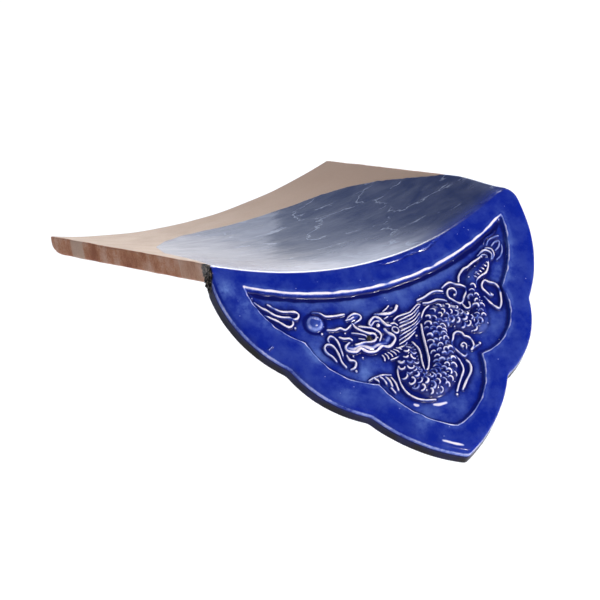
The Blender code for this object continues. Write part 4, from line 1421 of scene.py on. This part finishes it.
@dataclass
class TileFigure:
    """The wear and slumps that make the skin this one tile: moves its points, then makes the mesh."""

    shell: TileShell
    back_corner_radius: float = 5.0
    foot_reach: float = 20.0
    foot_radius: float = 4.5
    crust_reach: float = 13.5
    glazed_swell: float = 0.07
    clay_swell: float = 0.16
    swell_length: float = 34.0
    dent_length: float = 9.0

    def to_chord(self, places: Array) -> Array:
        """Places measured from the front chord."""
        pan = self.shell.pan
        return places - np.array((0.0, -pan.length / 2, pan.chord_height))

    def from_chord(self, places: Array) -> Array:
        """Places measured from the scene's origin."""
        pan = self.shell.pan
        return places + np.array((0.0, -pan.length / 2, pan.chord_height))

    @staticmethod
    def rounded(first: Array, second: Array) -> Array:
        """How much a square corner's point moves towards its centre to lie on the round one."""
        both = (first > 0) & (second > 0)
        length = np.hypot(first, second)
        return np.where(both, np.maximum(first, second) / np.maximum(length, 1e-9), 1.0)

    def slump_corner(self, places: Array) -> Array:
        """Round the right front corner, less and less along the pan's edge."""
        lean = self.shell.plate.lean
        local = self.to_chord(places)
        behind = local[:, 1] - local[:, 2] * math.tan(lean)
        up = local[:, 2] / math.cos(lean)
        radius = self.shell.slump_radius * (1 - smooth_step(0.0, self.shell.slump_fade, behind))
        edge = self.shell.pan.half_width(np.clip(local[:, 1], 0.0, None))
        right = local[:, 0] - edge + radius
        over = up + radius
        pull = self.rounded(right, over)
        local[:, 0] = edge - radius + right * pull
        height = (over * pull - radius) * math.cos(lean)
        local[:, 1] = behind + height * math.tan(lean)
        local[:, 2] = height
        return self.from_chord(local)

    def round_back(self, places: Array) -> Array:
        """Round the pan's upright back edges, and the foot and brow of its worn back edge."""
        pan = self.shell.pan
        local = self.to_chord(places)
        radius = self.back_corner_radius
        edge = float(pan.half_width(np.array(pan.length)))
        side = np.abs(local[:, 0]) - edge + radius
        behind = local[:, 1] - pan.length + radius
        pull = self.rounded(side, behind)
        local[:, 0] = np.where(pull < 1, np.sign(local[:, 0]) * (edge - radius + side * pull), local[:, 0])
        local[:, 1] = np.where(pull < 1, pan.length - radius + behind * pull, local[:, 1])
        across = np.clip(local[:, 0], -edge, edge)
        roof = pan.top(across, local[:, 1])
        worn = smooth_step(60.0, 105.0, -across)
        foot = (1, roof - pan.thickness, 3.0 + self.foot_reach * worn, 2.0 + self.foot_radius * worn)
        brow = (-1, roof, 0.8 + 5.0 * worn, 0.8 + 3.0 * worn)
        for upward, edge, reach, radius in (foot, brow):
            behind = 1 + (local[:, 1] - pan.length) / reach
            beyond = 1 - upward * (local[:, 2] - edge) / radius
            pull = self.rounded(behind, beyond)
            local[:, 1] = np.where(pull < 1, pan.length - reach * (1 - behind * pull), local[:, 1])
            local[:, 2] = np.where(pull < 1, edge + upward * radius * (1 - beyond * pull), local[:, 2])
        return self.from_chord(local)

    def unevenness(self, places: Array, cover: Array) -> Array:
        """Slight swells of hand-pressed clay, a little stronger where it is bare."""
        size = np.where(cover > 0, self.glazed_swell, self.clay_swell)[:, None]
        swell = np.column_stack([ripple(places, self.swell_length, seed) for seed in (11, 12, 13)])
        fine = np.column_stack([ripple(places, self.dent_length, seed) for seed in (21, 22, 23)])
        return places + size * swell + 0.35 * size * fine

    def crust_share(self, places: Array) -> Array:
        """How burnt and crusted each point is, highest at the left front corner."""
        local = self.to_chord(places)
        corner = np.array((-self.shell.pan.front_width / 2 - 2.5, 5.0, -6.0))
        stretch = np.array((2.2, 1.0, 0.75))
        gap = np.linalg.norm((local - corner) * stretch, axis=1)
        return 1 - smooth_step(0.35 * self.crust_reach, self.crust_reach, gap)

    def lumps(self, places: Array, share: Array) -> Array:
        """Knobbly burnt glaze that stands off the left front corner.

        Args:
            places: Points in millimetres.
            share: How crusted each point is.

        Returns:
            The moved points.
        """
        moved = places.copy()
        middle = self.from_chord(np.array((-self.shell.pan.front_width / 2 + 8.0, 10.0, -9.0)))
        for index in np.flatnonzero(share > 0.02):
            place = Vector(places[index])
            knob = noise.noise(place * 0.42) + 0.6 * noise.noise(place * 0.95)
            outward = (place - Vector(middle)).normalized()
            lift = share[index] * (1.0 + 2.8 * knob)
            moved[index] += np.array(outward) * max(-0.9, lift)
        return moved

    def mesh(self) -> bpy.types.Mesh:
        """Shape the skin and make it a mesh.

        Returns:
            The mesh, with one attribute for each glaze layer.
        """
        stock = self.shell.build()
        places = np.vstack(stock.places)
        layers = {name: np.concatenate(parts) for name, parts in stock.values.items()}
        places = self.slump_corner(places)
        places = self.round_back(places)
        places = self.unevenness(places, layers["cover"])
        crust = self.crust_share(places)
        places = self.lumps(places, crust)
        layers["crust"] = np.maximum(layers["crust"], crust)
        low, high = (np.array(corner) / MM for corner in cad_box)
        places = np.clip(places, low, high)
        mesh = bpy.data.meshes.new("glazed_tile")
        mesh.from_pydata((places * MM).tolist(), [], stock.faces)
        mesh.polygons.foreach_set("material_index", stock.skins)
        shape = bmesh.new()
        shape.from_mesh(mesh)
        bmesh.ops.recalc_face_normals(shape, faces=shape.faces)
        shape.to_mesh(mesh)
        shape.free()
        for name, values in layers.items():
            attribute = mesh.attributes.new(name, "FLOAT", "POINT")
            attribute.data.foreach_set("value", values.astype(np.float32))
        mesh.shade_smooth()
        return mesh


Tree = bpy.types.NodeTree
Socket = bpy.types.NodeSocket
Stop = tuple[float, str]
COLOURS = {"take": 2, "data_type": "RGBA"}
GLAZE_IOR = 1.5


def add_node(tree: Tree, kind: str, inputs: dict[str | int, object] | Sequence[object] = (),
             take: str | int = 0, stops: Sequence[Stop] = (), **settings: object) -> Socket | None:
    """Add a node with its settings, values and links.

    Args:
        tree: The tree that takes the node.
        kind: The node's type, without the leading ShaderNode.
        inputs: A value, or the output that feeds it, for each input named or in order.
        take: Which of its outputs is wanted.
        stops: Places and hex colours of a ramp.
        settings: Properties of the node.

    Returns:
        The wanted output, or None from a node that ends a tree.
    """
    node = tree.nodes.new("ShaderNode" + kind)
    for name, value in settings.items():
        setattr(node, name, value)
    for name, value in inputs.items() if isinstance(inputs, dict) else enumerate(inputs):
        if isinstance(value, Socket):
            tree.links.new(value, node.inputs[name])
        else:
            node.inputs[name].default_value = value
    if stops:
        elements = node.color_ramp.elements
        while len(elements) < len(stops):
            elements.new(0.5)
        for element, (position, colour) in zip(elements, stops):
            element.position = position
            element.color = linear(colour)
    return node.outputs[take] if node.outputs else None


def pattern(place: Socket, size: float, **more: float) -> dict[str, object]:
    """Inputs of a texture whose pattern is so many millimetres across."""
    return {"Vector": place, "Scale": 1 / (size * MM), **more}


@dataclass(frozen=True)
class Layer:
    """What one finish gives a surface: colour, roughness and relief in millimetres."""

    colour: Socket
    roughness: Socket
    relief: Socket


def make_material(name: str, finish: Callable[[Tree, Socket], Layer], specular: float) -> bpy.types.Material:
    """Make a material of one finish.

    Args:
        name: The material's name.
        finish: Lays out the finish in a tree, from object coordinates.
        specular: How strongly the surface mirrors the studio.

    Returns:
        The material.
    """
    material = bpy.data.materials.new(name)
    material.use_nodes = True
    tree = material.node_tree
    tree.nodes.clear()
    layer = finish(tree, add_node(tree, "TexCoord", take="Object"))
    bump = add_node(tree, "Bump", {"Strength": 1.0, "Distance": MM, "Height": layer.relief})
    shader = add_node(tree, "BsdfPrincipled", {
        "Base Color": layer.colour, "Roughness": layer.roughness, "Normal": bump,
        "IOR": GLAZE_IOR, "Specular IOR Level": specular})
    add_node(tree, "OutputMaterial", {"Surface": shader})
    return material


@dataclass(frozen=True)
class CobaltGlaze:
    """Lead-silica glaze coloured with cobalt, poured over the pressed relief.

    It runs off crests, where the pale slip shows through as lilac white, and pools dark in hollows.
    The surface is wet-looking with a slight orange peel, so reflections wobble.
    """

    crest: str = "#E3D9E0"
    thin: str = "#6C7CC2"
    flat: str = "#091E82"
    deep: str = "#061163"
    pool: str = "#040850"
    # Pale blue of milky glaze, also used as painted sky sheen.
    haze: str = "#6480C2"
    bubble: str = "#8E9CD8"
    over_pan: str = "#141F4E"
    # Pale grey of the painted sky reflection on the trough's glaze.
    reflected_sky: str = "#ADB0C0"
    scratch: str = "#A9B2C6"
    grain_size: float = 2.2
    haze_size: float = 17.0
    bubble_gap: float = 6.5
    peel_size: float = 3.4
    peel_depth: float = 0.06
    smudge_size: float = 26.0
    wander_size: float = 16.0
    scratch_gap: float = 52.0
    roughness: float = 0.09

    def layer(self, tree: Tree, place: Socket) -> Layer:
        """Lay out the glaze's nodes.

        Args:
            tree: The material's tree.
            place: Object coordinates.

        Returns:
            The glaze's colour, roughness and relief.
        """
        add = partial(add_node, tree)
        depth = add("Attribute", take="Fac", attribute_name="pool")
        grain = add("TexNoise", pattern(place, self.grain_size, Detail=3.0))
        jitter = add("Math", (grain, 0.42, -0.21), operation="MULTIPLY_ADD")
        uneven = add("Math", (depth, jitter), operation="ADD")
        share = add("Math", (uneven, 0.5, 0.5), operation="MULTIPLY_ADD")
        body = add("ValToRGB", (share,), stops=(
            (0.0, self.crest), (0.13, self.crest), (0.30, self.thin), (0.42, self.flat), (0.52, self.flat),
            (0.68, self.deep), (1.0, self.pool)))
        # Milky haze, partly painted sky sheen, paled in on the flats.
        cloud = add("TexNoise", pattern(place, self.haze_size, Detail=5.0, Roughness=0.66))
        patchy = add("MapRange", (cloud, 0.34, 0.66, 0.1, 1.5))
        haze = add("Attribute", take="Fac", attribute_name="haze")
        modelled = add("Math", (haze, patchy), operation="MULTIPLY")
        everywhere = add("MapRange", (cloud, 0.42, 0.75, 0.0, 0.24))
        milky = add("Math", (modelled, everywhere), operation="ADD")
        flatness = add("MapRange", (share, 0.80, 0.55, 0.0, 0.75))
        amount = add("Math", (milky, flatness), operation="MULTIPLY")
        face = add("Mix", {0: amount, 6: body, 7: linear(self.haze)}, **COLOURS)
        dots = add("TexVoronoi", pattern(place, self.bubble_gap))
        bubble = add("MapRange", (dots, 0.035, 0.06, 0.7, 0.0))
        burst = add("Mix", {0: bubble, 6: face, 7: linear(self.bubble)}, **COLOURS)
        pan = self.over_the_pan(tree, place, body)
        on_pan = add("Attribute", take="Fac", attribute_name="slip")
        colour = add("Mix", {0: on_pan, 6: burst, 7: pan}, **COLOURS)
        peel = add("TexNoise", pattern(place, self.peel_size, Detail=1.5))
        relief = add("Math", (peel, self.peel_depth), operation="MULTIPLY")
        smear = add("MapRange", (cloud, 0.3, 0.8, self.roughness, self.roughness * 2.2))
        return Layer(colour, smear, relief)

    def over_the_pan(self, tree: Tree, place: Socket, body: Socket) -> Socket:
        """Colour of the thick slate-dark glaze in the trough, with a patchy painted reflection of the sky
        and fine pale scratches.

        Args:
            tree: The material's tree.
            place: Object coordinates.
            body: The glaze's own colour, which shows where it thins at the lip.

        Returns:
            The colour.
        """
        add = partial(add_node, tree)
        depth = add("Attribute", take="Fac", attribute_name="pool")
        thick = add("MapRange", (depth, -0.4, -0.05))
        slate = add("Mix", {0: thick, 6: body, 7: linear(self.over_pan)}, **COLOURS)
        # Painted sky reflection: pale grey laid over the trough's glaze, broken into patches by noise.
        film = add("Attribute", take="Fac", attribute_name="film")
        smudge = add("TexNoise", pattern(place, self.smudge_size, Detail=6.0, Roughness=0.6, Distortion=0.8))
        patches = add("MapRange", (smudge, 0.40, 0.66, 0.0, 0.10))
        settled = add("MapRange", (smudge, 0.35, 0.60, 0.84, 1.06))
        reflection_share = add("Math", (film, settled, patches), operation="MULTIPLY_ADD")
        with_reflection = add("Mix", {0: reflection_share, 6: slate, 7: linear(self.reflected_sky)}, **COLOURS)
        wander = add("TexNoise", pattern(place, self.wander_size, Detail=3.0))
        sway = wander.node.outputs["Color"]
        bent = add("VectorMath", (sway, (0.03, 0.03, 0.03), place), operation="MULTIPLY_ADD")
        cells = add("TexVoronoi", pattern(bent, self.scratch_gap), feature="DISTANCE_TO_EDGE")
        vein = add("MapRange", (cells, 0.004, 0.028, 0.45, 0.0))
        across = add("SeparateXYZ", (place,), take="X")
        right = add("MapRange", (across, -0.03, 0.03, 0.56, 0.44))
        broken = add("MapRange", (wander, right, 0.58))
        shown = add("Math", (vein, broken), operation="MULTIPLY")
        return add("Mix", {0: shown, 6: with_reflection, 7: linear(self.scratch)}, **COLOURS)


@dataclass(frozen=True)
class FiredClay:
    """Earthenware pressed in a mould, sanded and fired once.

    The upper face has a smooth pale pink-buff skin, painted darker towards the pan's right side as
    shade, and the cut sides show the redder body with paler blooms and dark specks. It is dry and
    matt, with a fine grain.
    """

    skin: str = "#B4A294"
    skin_shade: str = "#A99788"
    # Skin colour painted on as shade towards the pan's right side.
    skin_in_shade: str = "#98806F"
    body: str = "#A06C4E"
    body_dark: str = "#814A2E"
    bloom: str = "#B28E7A"
    lime: str = "#B3A190"
    grain_size: float = 0.9
    grain_depth: float = 0.12
    bloom_size: float = 24.0
    roughness: float = 0.82

    def layer(self, tree: Tree, place: Socket) -> Layer:
        """Lay out the clay's nodes.

        Args:
            tree: The material's tree.
            place: Object coordinates.

        Returns:
            The clay's colour, roughness and relief.
        """
        add = partial(add_node, tree)
        on_skin = add("Attribute", take="Fac", attribute_name="slip")
        broad = add("TexNoise", pattern(place, self.bloom_size, Detail=5.0, Roughness=0.6))
        fine = add("TexNoise", pattern(place, self.grain_size, Detail=4.0, Roughness=0.7))
        pressed = add("ValToRGB", (broad,), stops=((0.35, self.skin_shade), (0.6, self.skin)))
        across = add("SeparateXYZ", (place,), take="X")
        # Painted shade: the skin darkens towards the pan's right side.
        shade_to_right = add("MapRange", (across, -0.06, 0.09))
        skin = add("Mix", {0: shade_to_right, 6: pressed, 7: linear(self.skin_in_shade)}, **COLOURS)
        mottle = add("Math", (fine, 0.5, broad), operation="MULTIPLY_ADD")
        gritty = add("Math", (mottle, 0.25), operation="SUBTRACT")
        cut = add("ValToRGB", (gritty,), stops=(
            (0.36, self.body_dark), (0.5, self.body), (0.66, self.bloom)))
        stain = self.lime_share(tree, across.node, fine)
        body = add("Mix", {0: stain, 6: cut, 7: linear(self.lime)}, **COLOURS)
        both = add("Mix", {0: on_skin, 6: body, 7: skin}, **COLOURS)
        speck = add("MapRange", (fine, 0.30, 0.70, 0.86, 1.08))
        colour = add("Mix", {0: 1.0, 6: both, 7: speck}, blend_type="MULTIPLY", **COLOURS)
        rough = add("MapRange", {0: fine, 3: self.roughness - 0.06, 4: self.roughness + 0.08})
        relief = add("Math", (fine, self.grain_depth), operation="MULTIPLY")
        return Layer(colour, rough, relief)

    @staticmethod
    def lime_share(tree: Tree, spot: bpy.types.Node, grain: Socket) -> Socket:
        """Where lime stained the left side: a block by the upper end, a thin line and a veil by the plate.

        Args:
            tree: The material's tree.
            spot: Gives X and Y of the place.
            grain: Fine noise that roughens the stains' edges.

        Returns:
            The share of the stain.
        """
        add = partial(add_node, tree)
        wobble = add("Math", (grain, 0.006, spot.outputs["Y"]), operation="MULTIPLY_ADD")
        block_start = add("MapRange", (wobble, 0.084, 0.086))
        block_end = add("MapRange", (wobble, 0.110, 0.107))
        block = add("Math", (block_start, block_end), operation="MULTIPLY")
        off_line = add("Math", (wobble, 0.095), operation="ADD")
        gap = add("Math", (off_line,), operation="ABSOLUTE")
        line = add("MapRange", (gap, 0.0004, 0.0012, 1.0, 0.0))
        veil = add("MapRange", (off_line, 0.0, -0.002, 0.0, 0.35))
        first = add("Math", (block, line), operation="MAXIMUM")
        both = add("Math", (first, veil), operation="MAXIMUM")
        left = add("MapRange", (spot.outputs["X"], -0.100, -0.104, 0.0, 0.6))
        return add("Math", (both, left), operation="MULTIPLY")


@dataclass(frozen=True)
class KilnCrust:
    """Glaze that boiled and charred in the kiln: a dark, flaky, dull crust with pale ash in it."""

    flakes: Point = (0.52, 0.66)
    spread: Point = (0.25, 0.6)
    dark: str = "#14110F"
    pale: str = "#7B6F64"
    flake_size: float = 1.8
    flake_height: float = 0.8

    def over(self, tree: Tree, place: Socket, under: Layer) -> tuple[Layer, Socket]:
        """Lay the crust over another finish.

        Args:
            tree: The material's tree.
            place: Object coordinates.
            under: The finish that it covers.

        Returns:
            The two together, still with the lower one's roughness, and the crust's share.
        """
        add = partial(add_node, tree)
        crust = add("Attribute", take="Fac", attribute_name="crust")
        flake = add("TexNoise", pattern(place, self.flake_size, Detail=5.0))
        char = add("ValToRGB", (flake,), stops=tuple(zip(self.flakes, (self.dark, self.pale))))
        share = add("MapRange", (crust, *self.spread))
        colour = add("Mix", {0: share, 6: under.colour, 7: char}, **COLOURS)
        lumps = add("Math", (flake, share), operation="MULTIPLY")
        relief = add("Math", (lumps, self.flake_height, under.relief), operation="MULTIPLY_ADD")
        return Layer(colour, under.roughness, relief), share


@dataclass(frozen=True)
class TileFinish:
    """The tile's whole surface: glossy glaze and matt bare clay, parted by the ragged line of the dip."""

    glaze: CobaltGlaze = CobaltGlaze()
    clay: FiredClay = FiredClay()
    crust: KilnCrust = KilnCrust()
    crust_roughness: float = 0.45
    shore_size: float = 12.0
    specular: float = 0.28

    def layer(self, tree: Tree, place: Socket) -> Layer:
        """Lay out glaze over clay, and crust over both.

        Args:
            tree: The material's tree.
            place: Object coordinates.

        Returns:
            The surface's colour, roughness and relief.
        """
        add = partial(add_node, tree)
        glaze = self.glaze.layer(tree, place)
        clay = self.clay.layer(tree, place)
        cover = add("Attribute", take="Fac", attribute_name="cover")
        streak = add("TexNoise", pattern(place, self.shore_size, Detail=3.0))
        shore = add("Math", (streak, 3.0, -1.5), operation="MULTIPLY_ADD")
        inside = add("Math", (cover, shore), operation="ADD")
        glazed = add("MapRange", (inside, -0.3, 0.5))
        colour = add("Mix", {0: glazed, 6: clay.colour, 7: glaze.colour}, **COLOURS)
        rough = add("Mix", {0: glazed, 2: clay.roughness, 3: glaze.roughness})
        relief = add("Mix", {0: glazed, 2: clay.relief, 3: glaze.relief})
        crusted, share = self.crust.over(tree, place, Layer(colour, rough, relief))
        charred = add("Mix", {0: share, 2: rough, 3: self.crust_roughness})
        return Layer(crusted.colour, charred, crusted.relief)

    def material(self) -> bpy.types.Material:
        """Make the material."""
        return make_material("cobalt_glaze_over_fired_clay", self.layer, self.specular)


@dataclass(frozen=True)
class BurntAndShadedEdge:
    """Glaze that ran over the plate's edge and burnt there in the kiln.

    It is navy where it is thick and brown-black where it is scorched, and painted darker than the face,
    partly as shade on the edge; it is dull enough that it shows only a soft sheen.
    """

    glaze: CobaltGlaze = CobaltGlaze()
    crust: KilnCrust = KilnCrust(flakes=(0.56, 0.72), spread=(0.2, 0.5))
    # Dark edge colours: burnt glaze, and painted shade on the edge.
    navy: str = "#12143C"
    indigo: str = "#232862"
    scorched: str = "#15110F"
    blotch_size: float = 14.0
    gloss: Point = (0.14, 0.34)
    specular: float = 0.06

    def layer(self, tree: Tree, place: Socket) -> Layer:
        """Lay out the burnt glaze.

        Args:
            tree: The material's tree.
            place: Object coordinates.

        Returns:
            The edge's colour, roughness and relief.
        """
        add = partial(add_node, tree)
        glaze = self.glaze.layer(tree, place)
        burn = add("Attribute", take="Fac", attribute_name="burn")
        blotch = add("TexNoise", pattern(place, self.blotch_size, Detail=4.0))
        tone = add("Math", (blotch, 0.9, burn), operation="MULTIPLY_ADD")
        edge = add("ValToRGB", (tone,), stops=((0.35, self.indigo), (0.8, self.navy), (1.0, self.navy)))
        scorch = add("MapRange", (tone, 1.25, 1.6))
        dark = add("Mix", {0: scorch, 6: edge, 7: linear(self.scorched)}, **COLOURS)
        start = add("MapRange", (burn, 0.02, 0.25))
        surface = add("Mix", {0: start, 6: glaze.colour, 7: dark}, **COLOURS)
        dull = add("MapRange", (burn, 0.0, 0.8, *self.gloss))
        return self.crust.over(tree, place, Layer(surface, dull, glaze.relief))[0]

    def material(self) -> bpy.types.Material:
        """Make the material."""
        return make_material("cobalt_glaze_burnt_at_the_edge", self.layer, self.specular)


def add_object(name: str, data: bpy.types.ID) -> bpy.types.Object:
    """Put a new object in the scene."""
    thing = bpy.data.objects.new(name, data)
    bpy.context.scene.collection.objects.link(thing)
    return thing


@dataclass(frozen=True)
class Lamp:
    """One small soft light: where it hangs, its width in metres and its power in watts."""

    name: str
    place: tuple[float, float, float]
    size: float
    power: float
    colour: str = "#FFF9F2"

    def hang(self, aim: tuple[float, float, float]) -> None:
        """Hang the light and point it at a place."""
        data = bpy.data.lights.new(self.name, "AREA")
        data.shape = "DISK"
        data.size = self.size
        data.energy = self.power
        data.color = linear(self.colour)[:3]
        thing = add_object(self.name, data)
        thing.location = self.place
        thing.rotation_euler = (Vector(aim) - Vector(self.place)).to_track_quat("-Z", "Y").to_euler()


@dataclass(frozen=True)
class Studio:
    """Camera, floor and soft light."""

    tip_height: float
    azimuth: float = math.radians(-22.093)
    elevation: float = math.radians(10.146)
    roll: float = math.radians(-11.98)
    distance: float = 2.19426
    lens: float = 201.80
    sensor: float = 36.0
    aim: tuple[float, float, float] = (-0.04881, -0.13809, -0.00753)
    softbox: tuple[float, float, float] = (0.621, 0.421, 0.661)
    softbox_edge: Point = (0.90, 0.93)
    softbox_strength: float = 9.2
    sky_strength: float = 0.98
    sky_tones: tuple[Stop, ...] = (
        (0.0, "#F7F7F8"), (0.150, "#F7F7F8"), (0.165, "#C6CCD2"), (0.27, "#AFB9C3"), (0.36, "#6F7C8A"),
        (0.45, "#525E78"), (1.0, "#6A7690"))
    lamps: tuple[Lamp, ...] = (Lamp("key", (1.4, -3.2, 1.05), 0.20, 64.0),
                               Lamp("glint", (0.55, -3.4, 0.9), 0.16, 28.0))
    floor_size: float = 40.0
    floor_gap: float = 0.30
    floor_colour: str = "#FAFAFA"
    floor_roughness: float = 0.9

    def directions(self) -> tuple[Vector, Vector, Vector]:
        """The camera's right, up and backward directions."""
        forward = Vector((-math.sin(self.azimuth) * math.cos(self.elevation),
                          math.cos(self.azimuth) * math.cos(self.elevation), -math.sin(self.elevation)))
        level = forward.cross(Vector((0.0, 0.0, 1.0))).normalized()
        upright = level.cross(forward)
        right = level * math.cos(self.roll) + upright * math.sin(self.roll)
        return right, right.cross(forward), -forward

    def camera(self) -> None:
        """Set up the camera at the photograph's view."""
        data = bpy.data.cameras.new("view")
        data.lens = self.lens
        data.sensor_width = self.sensor
        data.clip_end = 100.0
        thing = add_object("view", data)
        right, up, back = self.directions()
        turn = Matrix((right, up, back)).transposed().to_4x4()
        thing.matrix_world = Matrix.Translation(Vector(self.aim) + back * self.distance) @ turn
        bpy.context.scene.camera = thing

    def floor(self) -> bpy.types.Object:
        """Lay the pale floor below the plate's tip."""
        shape = bmesh.new()
        bmesh.ops.create_grid(shape, x_segments=1, y_segments=1, size=self.floor_size / 2)
        mesh = bpy.data.meshes.new("floor")
        shape.to_mesh(mesh)
        shape.free()
        material = bpy.data.materials.new("matt_white_paper")
        material.use_nodes = True
        shader = material.node_tree.nodes["Principled BSDF"]
        shader.inputs["Base Color"].default_value = linear(self.floor_colour)
        shader.inputs["Roughness"].default_value = self.floor_roughness
        mesh.materials.append(material)
        thing = add_object("floor", mesh)
        thing.location.z = self.tip_height - self.floor_gap
        return thing

    def sky(self) -> None:
        """Surround the scene with soft light, pale at the horizon and dimmer above, and a softbox behind."""
        world = bpy.data.worlds.new("soft_surround")
        world.use_nodes = True
        tree = world.node_tree
        tree.nodes.clear()
        add = partial(add_node, tree)
        heading = add("TexCoord", take="Generated")
        high = add("SeparateXYZ", (heading,), take="Z")
        streaks = add("Mapping", {"Vector": heading, "Scale": (26.0, 26.0, 5.0)})
        ragged = add("TexNoise", {"Vector": streaks, "Scale": 1.0, "Detail": 4.0})
        height = add("Math", (ragged, 0.05, high), operation="MULTIPLY_ADD")
        tone = add("ValToRGB", (height,), stops=self.sky_tones)
        toward = add("VectorMath", (heading, self.softbox), take="Value", operation="DOT_PRODUCT")
        box = add("MapRange", (toward, *self.softbox_edge))
        light = add("Mix", {0: box, 6: tone, 7: linear("#FFFFFF")}, **COLOURS)
        strength = add("MapRange", {0: box, 3: self.sky_strength, 4: self.softbox_strength})
        shine = add("Background", {"Color": light, "Strength": strength})
        add("OutputWorld", {"Surface": shine})
        bpy.context.scene.world = world

    def build(self) -> bpy.types.Object:
        """Build the whole studio.

        Returns:
            The floor.
        """
        self.camera()
        self.sky()
        for lamp in self.lamps:
            lamp.hang(self.aim)
        settings = bpy.context.scene.view_settings
        settings.view_transform = "Standard"
        settings.look = "None"
        return self.floor()


def main() -> None:
    """Build the tile and its studio, and report each piece."""
    logging.basicConfig(level=logging.INFO, format="%(name)s: %(message)s")
    pan = PanForm()
    plate = PlateForm(pan)
    face = PlateFace(plate, DragonRelief())
    mesh = TileFigure(TileShell(pan, plate, face)).mesh()
    finishes = {Skin.GLAZE_AND_CLAY: TileFinish(), Skin.BURNT_EDGE: BurntAndShadedEdge()}
    for skin in Skin:
        mesh.materials.append(finishes[skin].material())
    tile = add_object("glazed_tile", mesh)
    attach(tile, "root")
    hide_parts(TILE_NODE)
    triangles = sum(len(polygon.vertices) - 2 for polygon in mesh.polygons)
    log.info("glazed_tile: %d points, %d triangles", len(mesh.vertices), triangles)
    Studio(tip_height=cad_box[0].z).build()
    log.info("floor, camera and lights are in place")


if __name__ == "__main__":
    main()
